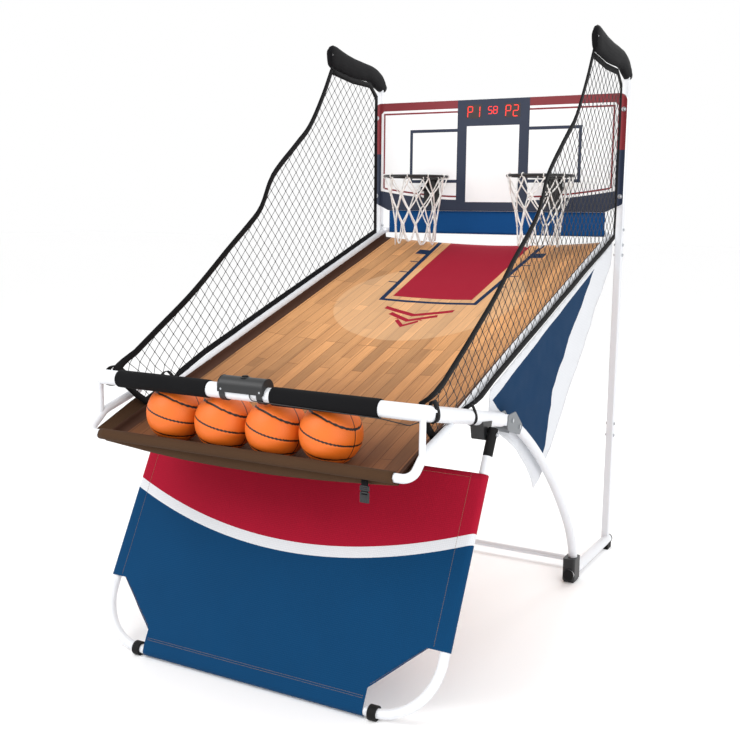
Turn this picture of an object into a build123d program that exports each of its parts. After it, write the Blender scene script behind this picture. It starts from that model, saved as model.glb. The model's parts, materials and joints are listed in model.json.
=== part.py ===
from build123d import *
import math
import os

# Folding two-player basketball hoop machine, in millimetres.
# +X is the player's right, -Y is the player's side, +Z is up.
# The origin is on the floor, at the middle of the width and depth.
# The rear frame stands still. The ball bar, tray and front legs fold up against it.

# Overall sizes
overall_depth = 1880.0
frame_x = 549.0
board_top_z = 1837.0
sleeve_overhang = 37.0

# Tube sections: outside diameter or side, and wall
tube_wall = 1.5
bar_d = 44.0
arch_d = 32.0
base_d = 38.0
rail_d = 25.0
hem_d = 25.0
leg_d = 28.0
net_arm_d = 22.0
cross_d = 22.0
strut_d = 18.0
upright_side = 28.0
upright_corner = 4.0

# Clearances
fit = 0.3
bolt_fit = 0.15
cloth = 2.0

# Depth stations
half_depth = overall_depth / 2
upright_y = half_depth - sleeve_overhang
hem_y = -half_depth + hem_d / 2 + cloth + fit
bar_y = hem_y + 27.5
hinge_y = upright_y - 1182.0
base_front_y = upright_y - 496.0
board_t = 12.0

# Heights
foot_h = 14.0
base_z = foot_h + base_d / 2
bar_z = 874.0
hinge_z = 747.0
tray_z = 672.0
hem_rise = 33.0
ramp_top_z = 1266.0
upright_joint_z = 500.0
board_h = 460.0
net_arm_rise = 135.0

# Side planes, measured from the plane of the bar arms, arches and base tubes
upright_x = frame_x - 5.0
rail_x = frame_x - bar_d / 2 - rail_d / 2 - 2.5
leg_x = frame_x + 37.0

# Playfield cloth
ramp_slope = (ramp_top_z - tray_z) / (upright_y - hem_y)
ramp_angle = math.atan(ramp_slope)
play_half = rail_x - rail_d / 2 - fit
play_sag = 28.0
fold_gap_rear = 112.0
fold_gap_front = 88.0

# Balls
ball_d = 178.0
ball_wall = 2.5
ball_count = 4
ball_row_x = -14.0
ball_y = hem_y + 92.0

# Front legs
leg_pivot_y = hinge_y - 209.0
leg_pivot_z = hinge_z - 2.0
leg_foot_y = leg_pivot_y - 384.0
leg_foot_z = 6.0 + leg_d / 2
leg_bend = 170.0
leg_foot_x = leg_x - leg_bend + 2.0
banner_top_z = 650.0

# Fasteners
pivot_bolt_d = 8.0
frame_bolt_d = 6.0
bolt_head_d = 13.0
bolt_head_h = 5.0

# Hoops
rim_r = 129.0
rim_d = 10.0
rim_x = 272.0
rim_z = 1517.0
rim_gap = 25.0
net_len = 272.0
net_low_r = 88.0
net_wall = 2.0

os.makedirs("parts", exist_ok=True)


def save(name, shape):
    """Write one node as parts/NAME.step."""
    solids = shape.solids() if hasattr(shape, "solids") else shape
    whole = Compound(children=list(solids)) if len(solids) > 1 else solids[0]
    export_step(whole, f"parts/{name}.step")


def both(shape):
    """The shape and its mirror image on the other side of the machine."""
    return [shape, mirror(shape, Plane.YZ)]


def pair(name, shape):
    """Save a right-hand piece and its left-hand mirror as two nodes."""
    right, left = both(shape)
    save(f"{name}_right", right)
    save(f"{name}_left", left)
    return right, left


def route(points, radii):
    """A path of straight runs joined by tangent arcs."""
    if len(points) == 2:
        return Line(*points)
    return FilletPolyline(*points, radius=radii)


def rod(points, radii, d):
    """A solid round bar along a path."""
    path = route(points, radii)
    return sweep(Plane(path @ 0, z_dir=path % 0) * Circle(d / 2), path=path)


def tube(points, radii, d, wall=tube_wall):
    """A hollow round tube along a path."""
    path = route(points, radii)
    ring = Circle(d / 2) - Circle(d / 2 - wall)
    return sweep(Plane(path @ 0, z_dir=path % 0) * ring, path=path)


def cylinder_between(a, b, r):
    """A solid cylinder from point a to point b."""
    axis = Vector(*b) - Vector(*a)
    return extrude(Plane(a, z_dir=axis) * Circle(r), amount=axis.length)


def block(x, y, z):
    """A box from (low, high) pairs along each axis."""
    centre = ((x[0] + x[1]) / 2, (y[0] + y[1]) / 2, (z[0] + z[1]) / 2)
    return Pos(*centre) * Box(x[1] - x[0], y[1] - y[0], z[1] - z[0])


def sheet_yz(outline, x0, thickness):
    """A flat sheet standing in the plane x = x0, thickened towards +X, from a (y, z) outline face."""
    plane = Plane(origin=(x0, 0, 0), x_dir=(0, 1, 0), z_dir=(1, 0, 0))
    return extrude(plane * outline, amount=thickness)


def polygon(*points):
    """A face with straight sides through the points, in order."""
    return make_face(Polyline(*points, close=True))


def cross_bolt(x0, x1, y, z, d=frame_bolt_d):
    """A bolt along X with a domed head at x1 and a nut at x0."""
    shank = cylinder_between((x0, y, z), (x1, y, z), d / 2)
    head = cylinder_between((x1, y, z), (x1 + bolt_head_h, y, z), bolt_head_d / 2)
    head = fillet(head.edges().sort_by(Axis.X)[-1], 2.0)
    nut = cylinder_between((x0 - bolt_head_h, y, z), (x0, y, z), bolt_head_d / 2 - 1)
    return shank + head + nut


def low_bolt(x0, x1, y, z, d):
    """A rivet-like bolt along X with thin round heads outside x0 and x1."""
    low_head = 2.6
    shank = cylinder_between((x0, y, z), (x1, y, z), d / 2)
    heads = [cylinder_between((x0 - low_head, y, z), (x0, y, z), bolt_head_d / 2)]
    heads.append(cylinder_between((x1, y, z), (x1 + low_head, y, z), bolt_head_d / 2))
    return shank + heads


def ramp_z(y):
    """Height of the playfield's side edges at depth y."""
    return ramp_top_z + (y - upright_y) * ramp_slope


def arm_z(y):
    """Height of the bar arm's centre line at depth y."""
    return bar_z + (y - bar_y) * (hinge_z - bar_z) / (hinge_y - bar_y)


# ---------------------------------------------------------------- rear frame
base_rear_y = upright_y + upright_side / 2
upright_top_z = board_top_z + 50.0
upright_bolt_z = (upright_joint_z - 24, upright_joint_z + 24, 1210.0, 1250.0, 1310.0)


def base_tube():
    """Straight floor tube under each side of the rear frame."""
    return tube([(frame_x, base_front_y, base_z), (frame_x, base_rear_y, base_z)], [], base_d)


def x_hole(y, z, d):
    """A drill along X through one side of the machine."""
    return cylinder_between((frame_x - 60, y, z), (frame_x + 60, y, z), d / 2)


def upright_section(z0, z1):
    """Square tube between two heights, at the rear corner, drilled for its bolts."""
    side = upright_side
    ring = RectangleRounded(side, side, upright_corner)
    ring -= RectangleRounded(side - 2 * tube_wall, side - 2 * tube_wall, upright_corner - tube_wall)
    section = extrude(Plane((upright_x, upright_y, z0)) * ring, amount=z1 - z0)
    for z in upright_bolt_z:
        section -= x_hole(upright_y, z, frame_bolt_d + 2 * bolt_fit)
    return section


base_solid = cylinder_between(
    (frame_x, base_front_y - 50, base_z), (frame_x, base_rear_y + 50, base_z), base_d / 2
)
pair("base_tube", base_tube())

lower_upright = upright_section(base_z, upright_joint_z) - base_solid
save("lower_uprights", Compound(children=both(lower_upright)))
upper_upright = upright_section(upright_joint_z, upright_top_z)
pair("upper_upright", upper_upright)

floor_cross_y = base_front_y + 183.0
inner_base_x = frame_x - base_d / 2
floor_cross = tube([(-frame_x, floor_cross_y, base_z), (frame_x, floor_cross_y, base_z)], [], cross_d)
floor_cross = floor_cross - base_solid - mirror(base_solid, Plane.YZ)
save("floor_cross_tube", floor_cross)

# Arch legs: a long bow from the fold bracket, turning steeply down into the base tube
arch_start = (frame_x, hinge_y + 36.0, hinge_z - 12.0)
arch_mid = (frame_x, hinge_y + 382.0, 510.0)
arch_knee = (frame_x, hinge_y + 645.0, 250.0)
arch_foot = (frame_x, base_front_y + 56.0, base_z + 12.0)
arch_bow = ThreePointArc(arch_start, arch_mid, arch_knee)
arch_path = arch_bow + TangentArc(arch_knee, arch_foot, tangent=arch_bow % 1)


def along_arch(r_out, r_in=0.0):
    """A round section swept along the arch."""
    section = Circle(r_out) - Circle(r_in) if r_in else Circle(r_out)
    return sweep(Plane(arch_path @ 0, z_dir=arch_path % 0) * section, path=arch_path)


arch_solid = along_arch(arch_d / 2)
bracket_bolt_at = (hinge_y + 62, hinge_z - 31)
bracket_drill = x_hole(*bracket_bolt_at, frame_bolt_d + 2 * bolt_fit)
pair("arch_leg", along_arch(arch_d / 2, arch_d / 2 - tube_wall) - base_solid - bracket_drill)

# Plastic sockets that clamp each arch to its base tube, standing on a rubber pad
socket_y = arch_foot[1] - 26.0
socket = block((frame_x - 27, frame_x + 20), (socket_y - 26, socket_y + 46), (8, 92))
socket = fillet(socket.edges().filter_by(Axis.Z), 9.0)
socket_foot = block((frame_x - 22, frame_x + 16), (socket_y - 20, socket_y + 40), (0, 8))
socket = socket + socket_foot - base_solid - arch_solid
save("arch_sockets", Compound(children=both(socket)))

# End caps and rear rubber feet of the base tubes
cap = cylinder_between(
    (frame_x, base_front_y - 7, base_z), (frame_x, base_front_y, base_z), base_d / 2 + 1
)
rear_cap = cylinder_between(
    (frame_x, base_rear_y, base_z), (frame_x, base_rear_y + 6, base_z), base_d / 2 + 1
)
rear_foot = block((frame_x - 18, frame_x + 18), (base_rear_y - 52, base_rear_y - 4), (0, base_z))
rear_foot = rear_foot - base_solid
save("base_feet", Compound(children=both(cap) + both(rear_cap) + both(rear_foot)))

# Fold brackets: two plates on the sides of each arch, with the arm's end between them
plate_t = 3.0
bracket_half = arch_d / 2
bracket_outline = polygon(
    (hinge_y - 40, hinge_z - 20),
    (hinge_y - 36, hinge_z + 22),
    (hinge_y + 24, hinge_z + 24),
    (hinge_y + 88, hinge_z - 30),
    (hinge_y + 66, hinge_z - 56),
    (hinge_y - 10, hinge_z - 36),
)
bracket_outline = fillet(bracket_outline.vertices(), 9.0)
bracket = []
for x0 in (frame_x - bracket_half - plate_t, frame_x + bracket_half):
    bracket.append(sheet_yz(bracket_outline, x0, plate_t))
bracket_plates = Compound(children=bracket)


pivot_drill = x_hole(hinge_y, hinge_z, pivot_bolt_d + 2 * bolt_fit)
pair("hinge_bracket", bracket_plates - pivot_drill - bracket_drill)

# Net arms: each plugs into the top of an upright and bends forward over the hoops
socket_tube_d = upright_side - 2 * tube_wall - 2 * fit
net_arm_top_z = board_top_z + 103.0
net_arm_tip = (upright_x, upright_y - 430.0, net_arm_top_z + 50.0)
net_arm_points = [
    (upright_x, upright_y, upright_top_z - 70),
    (upright_x, upright_y, net_arm_top_z),
    net_arm_tip,
]
pair("net_arm", tube(net_arm_points, [45.0], socket_tube_d))

# Rails that carry the playfield's side edges
rail_lift = 22.0
rail_front_y = hinge_y + 122.0
rail_rear_y = upright_y + 2.0


def rail_z(y):
    """Height of a rail's centre line at depth y."""
    return ramp_z(y) + rail_lift


rail_points = [
    (rail_x, rail_front_y, rail_z(rail_front_y)),
    (rail_x, rail_rear_y, rail_z(rail_rear_y)),
]
pair("ramp_rail", tube(rail_points, [], rail_d))

cross_z = ramp_top_z + rail_lift + 2.0
inner_upright_x = upright_x - upright_side / 2
cross_y = upright_y + 2.0
cross = tube([(-inner_upright_x, cross_y, cross_z), (inner_upright_x, cross_y, cross_z)], [], cross_d)
rail_plug = cylinder_between(rail_points[0], rail_points[1], rail_d / 2)
save("top_cross_tube", cross - rail_plug - mirror(rail_plug, Plane.YZ))

# ---------------------------------------------------------------- backboard
board_half = upright_x + upright_side / 2
board_front_y = upright_y - upright_side / 2 - board_t
board_rear_y = board_front_y + board_t
board_low_z = board_top_z - board_h
board_face = polygon(
    (-board_half, board_low_z + 37),
    (-board_half, board_top_z),
    (board_half, board_top_z),
    (board_half, board_low_z + 37),
    (board_half - 70, board_low_z),
    (-board_half + 70, board_low_z),
)
board_face = fillet(board_face.vertices().group_by(Axis.Y)[-1], 30.0)
board_face = fillet(board_face.vertices().group_by(Axis.Y)[0], 6.0)
board_bolt_x = upright_x
board_bolt_z = (board_low_z + 63.0, board_top_z - 62.0)
backboard = extrude(
    Plane(origin=(0, board_rear_y, 0), x_dir=(1, 0, 0), z_dir=(0, -1, 0)) * board_face, amount=board_t
)
for z in board_bolt_z:
    for x in (-board_bolt_x, board_bolt_x):
        backboard -= cylinder_between(
            (x, board_front_y, z), (x, board_rear_y, z), frame_bolt_d / 2 + bolt_fit
        )

# Electronics behind the top of the board, with its window through the board
display_half = 132.0
display_z = (board_top_z - 82.0, board_top_z - 22.0)
window = block((-display_half, display_half), (board_front_y, board_rear_y), display_z)
save("backboard", backboard - window)
housing_y = (board_rear_y, board_rear_y + 38)
housing = block((-display_half - 18, display_half + 18), housing_y, (display_z[0] - 14, display_z[1] + 14))
housing = fillet(housing.edges().filter_by(Axis.Y), 8.0)
display_face = block(
    (-display_half + fit, display_half - fit),
    (board_front_y + 2, board_rear_y),
    (display_z[0] + fit, display_z[1] - fit),
)
save("scoreboard_housing", housing + display_face)

# Cloth panel between the board and the top cross tube
backdrop = block(
    (-board_half + 72, board_half - 72),
    (board_rear_y + fit, board_rear_y + fit + cloth),
    (cross_z - 9, board_low_z + 14),
)
save("backdrop_fabric", backdrop)

# ---------------------------------------------------------------- hoops
rim_y = board_front_y - rim_gap - rim_r - rim_d / 2
bracket_half_w = 38.0
bracket_z = (rim_z - 118.0, rim_z - rim_d / 2 - 3)
lever_x = rim_x + 26.0
lever_y = board_front_y - 14.0
lever_z = rim_z - 48.0
lever_pin_d = 5.0
lever_rod_d = 6.0


def rim():
    """A hoop with its flat seat plate and two side stays."""
    ring = Pos(rim_x, rim_y, rim_z) * Torus(rim_r, rim_d / 2)
    seat_y = (rim_y + rim_r - 8, board_front_y)
    seat = block((rim_x - 34, rim_x + 34), seat_y, (rim_z - rim_d / 2 - 3, rim_z - rim_d / 2 + 2))
    stays = []
    for side in (-1, 1):
        start = (rim_x + side * 30, board_front_y, rim_z)
        end = (rim_x + side * 74, rim_y + math.sqrt(rim_r**2 - 74**2), rim_z)
        stays.append(cylinder_between(start, end, rim_d / 2 - 1))
    board_space = block((0, rim_x * 2), (board_front_y, board_rear_y), (0, rim_z + rim_r))
    return (ring + seat + stays) - board_space


pair("rim", rim())
plate_y = (board_front_y - 4, board_front_y)
wall_plate = block((rim_x - bracket_half_w, rim_x + bracket_half_w), plate_y, bracket_z)
wall_plate = fillet(wall_plate.edges().filter_by(Axis.Y), 8.0)
for side in (-1, 1):
    gusset = polygon(
        (board_front_y - 4, bracket_z[1]),
        (rim_y + rim_r + 4, bracket_z[1]),
        (board_front_y - 4, bracket_z[0] + 40),
    )
    wall_plate += sheet_yz(gusset, rim_x + side * 20 - 1.5, 3.0)
    for z in (bracket_z[0] + 16, bracket_z[1] - 14):
        bolt_at = (rim_x + side * 29, plate_y[0] - 3, z)
        wall_plate += cylinder_between(bolt_at, (bolt_at[0], plate_y[0], z), 6.0)
lever_tall = (lever_z - 9, lever_z + 9)
lever_block = block((lever_x + 13, lever_x + 19), (lever_y - 9, board_front_y - 4), lever_tall)
lever_ends = [(lever_x + x, lever_y, lever_z) for x in (-4, 15)]
lever_pin = cylinder_between(*lever_ends, lever_pin_d / 2)
lever_back = block((lever_x + 4, lever_x + 19), (board_front_y - 4, board_front_y), lever_tall)
rim_bracket = wall_plate + lever_block + lever_pin + lever_back
save("rim_brackets", Compound(children=both(rim_bracket)))


def score_lever():
    """A trip lever that hangs inside the net and is pushed down by a passing ball."""
    hub = cylinder_between((lever_x, lever_y, lever_z), (lever_x + 12, lever_y, lever_z), 6.5)
    bend = (lever_x + 4, lever_y - 60, lever_z - 16)
    tip = (rim_x - 8, rim_y + 36, lever_z - 40)
    arm = rod([(lever_x + 6, lever_y - 3, lever_z), bend, tip], [18.0], lever_rod_d)
    ball_end = Pos(*tip) * Sphere(6.0)
    bore = cylinder_between(
        (lever_x - 1, lever_y, lever_z), (lever_x + 13, lever_y, lever_z), lever_pin_d / 2 + 0.08
    )
    return hub + arm + ball_end - bore


pair("score_lever", score_lever())


def rim_net():
    """The rope net under a hoop, as a thin tapering skin, open behind for the trip lever."""
    top_z = rim_z - rim_d / 2 - 3 - fit
    top = Plane((rim_x, rim_y, top_z))
    low = Plane((rim_x, rim_y, top_z - net_len))
    outer = loft([top * Circle(rim_r), low * Circle(net_low_r)])
    inner = loft([top * Circle(rim_r - net_wall), low * Circle(net_low_r - net_wall)])
    slot = block((rim_x - 20, lever_x + 24), (rim_y + 60, board_front_y), (lever_z - 110, rim_z))
    return outer - inner - slot


pair("rim_net", rim_net())

# ---------------------------------------------------------------- playfield
def play_section(y):
    """Cross-section of the sagging playfield cloth with its raised side edges, square to the slope."""
    edge = play_half
    mid = -play_sag
    band = make_face(
        [
            ThreePointArc((-edge, 0), (0, mid), (edge, 0)),
            Line((edge, 0), (edge, -cloth)),
            ThreePointArc((edge, -cloth), (0, mid - cloth), (-edge, -cloth)),
            Line((-edge, -cloth), (-edge, 0)),
        ]
    )
    lip_h = rail_lift * math.cos(ramp_angle)
    lip = Rectangle(cloth, lip_h + cloth, align=(Align.MAX, Align.MIN))
    right_lip = Pos(edge, -cloth) * lip
    section = band + right_lip + mirror(right_lip, Plane.YZ)
    return Plane(origin=(0, y, ramp_z(y)), x_dir=(1, 0, 0), z_dir=(0, -1, -ramp_slope)) * section


def playfield(y_rear, y_front):
    """Playfield cloth between two depths."""
    run = (y_rear - y_front) / math.cos(ramp_angle)
    return extrude(play_section(y_rear), amount=run)


play_top_y = board_rear_y - 6.0
play_fold_rear_y = hinge_y + fold_gap_rear
play_fold_front_y = hinge_y - fold_gap_front
save("playfield_fabric", playfield(play_top_y, play_fold_rear_y))
save("playfield_fold_strip", playfield(play_fold_rear_y - fit, play_fold_front_y + fit))

# ---------------------------------------------------------------- front section
arm_dir = Vector(0, hinge_y - bar_y, hinge_z - bar_z).normalized()


def on_arm(distance, x=frame_x, drop=0.0):
    """A point ahead of the fold pivot along the bar arm, lowered square to it."""
    y = hinge_y - arm_dir.Y * distance + arm_dir.Z * drop
    z = hinge_z - arm_dir.Z * distance - arm_dir.Y * drop
    return (x, y, z)


arm_tube_start = 54.0
bar_points = [on_arm(arm_tube_start), (frame_x, bar_y, bar_z)]
bar_points += [(-x, y, z) for x, y, z in reversed(bar_points)]
bar = tube(bar_points, [70.0, 70.0], bar_d)
tongue_t = arch_d - 2 * fit
tongue_r = 17.0
tongue_cap = cylinder_between(
    (frame_x - tongue_t / 2, hinge_y, hinge_z), (frame_x + tongue_t / 2, hinge_y, hinge_z), tongue_r
)
tongue_plane = Plane(origin=on_arm(0), x_dir=(1, 0, 0), z_dir=-arm_dir)
tongue_bar = extrude(tongue_plane * Rectangle(tongue_t, 2 * tongue_r), amount=arm_tube_start + 6)
tongue = tongue_cap + tongue_bar - x_hole(hinge_y, hinge_z, pivot_bolt_d + 0.1)
bar = bar + tongue + mirror(tongue, Plane.YZ)

# Tray rails: from the underside of each arm forward, down and across the hem
tray_tube_points = [
    (frame_x, hinge_y - 418.0, arm_z(hinge_y - 418.0) - bar_d / 2 - hem_d / 2 + 4),
    (frame_x, hinge_y - 574.0, tray_z + 89.0),
    (frame_x, hem_y, tray_z + hem_rise),
]
tray_tube_points += [(-x, y, z) for x, y, z in reversed(tray_tube_points)]
bar_solid = rod(bar_points, [70.0, 70.0], bar_d)
tray = tube(tray_tube_points, [60.0, 30.0, 30.0, 60.0], hem_d) - bar_solid
save("tray_tube", tray)
tray_solid = rod(tray_tube_points, [60.0, 30.0, 30.0, 60.0], hem_d)
strut_y = hinge_y - 590.0
strut = cylinder_between(
    (frame_x, strut_y, tray_z + 84), (frame_x, strut_y, arm_z(strut_y)), strut_d / 2
)
strut = strut - bar_solid - tray_solid
strut = strut.solids().sort_by(SortBy.VOLUME)[-1]
save("tray_struts", Compound(children=both(strut)))

# Leg saddles: plastic hangers under the arms that carry the front legs' pivot bolts
leg_inner_x = leg_x - leg_d / 2
saddle_outline = polygon(
    (leg_pivot_y - 34, arm_z(leg_pivot_y) - 4),
    (leg_pivot_y + 34, arm_z(leg_pivot_y) - 12),
    (leg_pivot_y + 20, leg_pivot_z - 16),
    (leg_pivot_y - 20, leg_pivot_z - 16),
)
saddle_outline = fillet(saddle_outline.vertices().sort_by(Axis.Y)[:2], 10.0)
saddle = sheet_yz(saddle_outline, leg_inner_x - 42, 42 - 2 * fit) - bar_solid
saddle_drill = x_hole(leg_pivot_y, leg_pivot_z, pivot_bolt_d)
saddle = saddle.solids().sort_by(SortBy.VOLUME)[-1] - saddle_drill
save("leg_saddles", Compound(children=both(saddle)))


def pivot_bolt():
    """Bolt that hangs a front leg from its saddle."""
    start = leg_inner_x - 42
    end = leg_x + leg_d / 2 + fit
    return cross_bolt(start, end, leg_pivot_y, leg_pivot_z, pivot_bolt_d)


save("leg_pivot_bolts", Compound(children=both(pivot_bolt())))
save("u_bar", bar)

# Foam grips on the bar
grip_d = bar_d + 8.0
grip_x = (108.0, 443.0)
grip = cylinder_between((grip_x[0], bar_y, bar_z), (grip_x[1], bar_y, bar_z), grip_d / 2)
grip = grip - cylinder_between((grip_x[0], bar_y, bar_z), (grip_x[1], bar_y, bar_z), bar_d / 2)
pair("foam_grip", grip)

# Tray cloth: the low end of the playfield, its front wall and its two side wings
tray_front_y = hem_y + hem_d / 2 + 2.0
tray_cloth = playfield(play_fold_front_y, tray_front_y)
front_low = ramp_z(tray_front_y) - play_sag - 2 * cloth
front_wall = block(
    (-play_half, play_half), (tray_front_y - cloth, tray_front_y), (front_low, tray_z + hem_rise)
)
floor_at = (0, tray_front_y, ramp_z(tray_front_y))
floor_cut = Plane(origin=floor_at, x_dir=(1, 0, 0), z_dir=(0, -1, -ramp_slope))
sag_skin = floor_cut * make_face(
    [
        ThreePointArc((-play_half, -cloth), (0, -play_sag - cloth), (play_half, -cloth)),
        Line((play_half, -cloth), (play_half, -90)),
        Line((play_half, -90), (-play_half, -90)),
        Line((-play_half, -90), (-play_half, -cloth)),
    ]
)
front_wall -= extrude(sag_skin, amount=20, both=True)
hem_line = ((-play_half, hem_y, tray_z + hem_rise), (play_half, hem_y, tray_z + hem_rise))
hem_bore_r = hem_d / 2 + fit
hem_sleeve = cylinder_between(*hem_line, hem_bore_r + cloth) - cylinder_between(*hem_line, hem_bore_r)
wing_rear_y = hinge_y - 430.0
wing_lift = arm_z(wing_rear_y) - bar_d / 2 - 24.3 - tray_z - hem_rise


def wing_section(y):
    """Slanting strip from the playfield's edge up to the tray rail."""
    low = ramp_z(y) + 6.0
    share = (y - hem_y) / (wing_rear_y - hem_y)
    high = tray_z + hem_rise + share * wing_lift
    inner = play_half - cloth
    outer = frame_x - hem_d / 2 - 2.0
    plane = Plane(origin=(0, y, 0), x_dir=(1, 0, 0), z_dir=(0, -1, 0))
    return plane * polygon((inner, low), (outer, high), (outer, high + cloth + 1), (inner, low + cloth + 1))


wing = loft([wing_section(wing_rear_y), wing_section(hem_y + hem_d / 2 + 8)], ruled=True)
tray_cloth = tray_cloth + front_wall + hem_sleeve + wing + mirror(wing, Plane.YZ)
tray_cloth = tray_cloth - tray_solid
save("tray_fabric", tray_cloth)

# Control box on the middle of the bar, with one push button
box_x = (-62.0, 92.0)
box_half_d = 27.0
box_base_z = bar_z + 2.0
box_mid_x = (box_x[0] + box_x[1]) / 2
box_profile = make_face(
    [
        Line((-box_half_d, box_base_z), (box_half_d, box_base_z)),
        Line((box_half_d, box_base_z), (box_half_d, bar_z + 22)),
        ThreePointArc((box_half_d, bar_z + 22), (0, bar_z + 45), (-box_half_d, bar_z + 22)),
        Line((-box_half_d, bar_z + 22), (-box_half_d, box_base_z)),
    ]
)
box_plane = Plane(origin=(box_x[0], bar_y, 0), x_dir=(0, 1, 0), z_dir=(1, 0, 0))
box_body = extrude(box_plane * box_profile, amount=box_x[1] - box_x[0])
bar_run = cylinder_between((-200, bar_y, bar_z), (200, bar_y, bar_z), bar_d / 2 + fit)
clips = []
for x in (box_x[0] + 14, box_x[1] - 14):
    clip = cylinder_between((x - 9, bar_y, bar_z), (x + 9, bar_y, bar_z), bar_d / 2 + 4)
    clips.append(clip)
box_body = box_body + clips - bar_run
button_r = 9.0
button_travel = 2.5
button_z = bar_z + 45.0
well_z = bar_z + 30.0
button_well = cylinder_between((box_mid_x, bar_y, well_z), (box_mid_x, bar_y, well_z + 30), button_r + fit)
save("control_box", box_body - button_well)
button_low = (box_mid_x, bar_y, well_z + 2 * button_travel)
button = cylinder_between(button_low, (box_mid_x, bar_y, button_z + 4), button_r)
button = fillet(button.edges().sort_by(Axis.Z)[-1], 1.5)
save("control_button", button)

# Control cable: under the right grip and back along the arm into its grommet
cable_d = 3.0
cable_entry = 182.0
net_t = 2.0
skirt_x = frame_x - bar_d / 2 - net_t - fit
cable_side_x = skirt_x - cable_d / 2 - fit
cable_out_x = box_x[0] + 108.0
cable_front_points = [
    (cable_out_x, bar_y - 24.5, box_base_z),
    (cable_out_x, bar_y - 24.5, bar_z - 14.5),
    (grip_x[1] + 9, bar_y - 18.5, bar_z - 22.0),
    (grip_x[1] + 62, bar_y + 40, bar_z - 45.0),
    (cable_side_x, bar_y + 120, arm_z(bar_y + 120) - 14),
    (cable_side_x, hinge_y - cable_entry, arm_z(hinge_y - cable_entry) - 2),
]
save("cable_front", rod(cable_front_points, [15.0, 15.0, 15.0, 15.0], cable_d))

# Display cable: out of the right upright and along the back of the board
cable_back_y = board_rear_y + cable_d / 2 + fit
cable_rear_points = [
    (inner_upright_x, cable_back_y, board_top_z - 187),
    (300, cable_back_y, board_top_z - 187),
    (300, cable_back_y, display_z[0] + 10),
    (display_half + 18, cable_back_y, display_z[0] + 10),
]
save("cable_rear", rod(cable_rear_points, [20.0, 20.0], cable_d))

# ---------------------------------------------------------------- front legs
leg_rise = Vector(0, leg_pivot_y - leg_foot_y, leg_pivot_z - leg_foot_z).normalized()
leg_top = (leg_x, leg_pivot_y + leg_rise.Y * 16, leg_pivot_z + leg_rise.Z * 16)
leg_low = (leg_x, leg_foot_y, leg_foot_z)
leg_points = [leg_top, leg_low, (-leg_low[0], *leg_low[1:]), (-leg_top[0], *leg_top[1:])]
tube_drill = x_hole(leg_pivot_y, leg_pivot_z, pivot_bolt_d + 0.1)
banner_tube = tube(leg_points, [leg_bend, leg_bend], leg_d)
save("banner_tube", banner_tube - tube_drill - mirror(tube_drill, Plane.YZ))

bumper_r = leg_foot_z + 1.5
bumper_ends = [(leg_foot_x + side * 12, leg_foot_y, leg_foot_z) for side in (-1, 1)]
bumper = cylinder_between(*bumper_ends, bumper_r) - cylinder_between(*bumper_ends, leg_d / 2)
bumper -= block((leg_foot_x - 20, leg_foot_x + 20), (leg_foot_y - 40, leg_foot_y + 40), (-10, 0))
leg_solid = rod(leg_points, [leg_bend, leg_bend], leg_d)
save("leg_feet", Compound(children=both(bumper - leg_solid)))

leg_normal = (0, -leg_rise.Z, leg_rise.Y)
banner_plane = Plane(origin=(0, leg_foot_y, leg_foot_z), x_dir=(1, 0, 0), z_dir=leg_normal)
rise_scale = 1 / leg_rise.Z
banner_low = 196.0
banner_side_v = (banner_low - leg_foot_z) * rise_scale
banner_top_v = (banner_top_z - 12 - leg_foot_z) * rise_scale
banner_cut_v = 55.0
hem_half = leg_foot_x - 28.0
banner_edge = leg_x - leg_d / 2 + 3.0
banner_face = polygon(
    (-hem_half, 0),
    (hem_half, 0),
    (hem_half, banner_cut_v),
    (banner_edge - 48, banner_side_v),
    (banner_edge, banner_side_v),
    (banner_edge, banner_top_v),
    (-banner_edge, banner_top_v),
    (-banner_edge, banner_side_v),
    (-banner_edge + 48, banner_side_v),
    (-hem_half, banner_cut_v),
)
banner = extrude(banner_plane * banner_face, amount=cloth / 2, both=True)


def on_leg(v):
    """A point on the right leg's centre line, v up the slope from the foot."""
    return (leg_x, leg_foot_y + leg_rise.Y * v, leg_foot_z + leg_rise.Z * v)


sleeve_r = leg_d / 2 + 1.8
side_sleeve = cylinder_between(on_leg(banner_side_v), on_leg(banner_top_v), sleeve_r)
hem_a = (-hem_half, leg_foot_y, leg_foot_z)
hem_b = (hem_half, leg_foot_y, leg_foot_z)
banner = banner + side_sleeve + mirror(side_sleeve, Plane.YZ) + cylinder_between(hem_a, hem_b, sleeve_r)
leg_clear = rod(leg_points, [leg_bend, leg_bend], leg_d + fit)
save("banner_fabric", banner - leg_clear)

# ---------------------------------------------------------------- hanging strap
strap_x = 412.0
strap_r = 1.0
strap_top_z = tray_z + hem_rise - hem_d / 2 - cloth - 2 * fit
strap_turn_z = strap_top_z - strap_r
strap_side = (strap_x - 10, strap_x + 10)
clasp_side = (strap_x - 14, strap_x + 14)
strap = block(strap_side, (hem_y - strap_r, hem_y + strap_r), (strap_top_z - 46, strap_turn_z))
strap += cylinder_between(*[(x, hem_y, strap_turn_z) for x in strap_side], strap_r)
slider = block(clasp_side, (hem_y - 4, hem_y + 4), (strap_top_z - 30, strap_top_z - 20))
save("hem_strap", strap - slider)
buckle = block(clasp_side, (hem_y - 5, hem_y + 5), (strap_top_z - 62, strap_top_z - 36))
buckle = fillet(buckle.edges().filter_by(Axis.Y), 4.0) - strap
save("strap_buckle", Compound(children=[slider - strap, buckle]))

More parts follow.
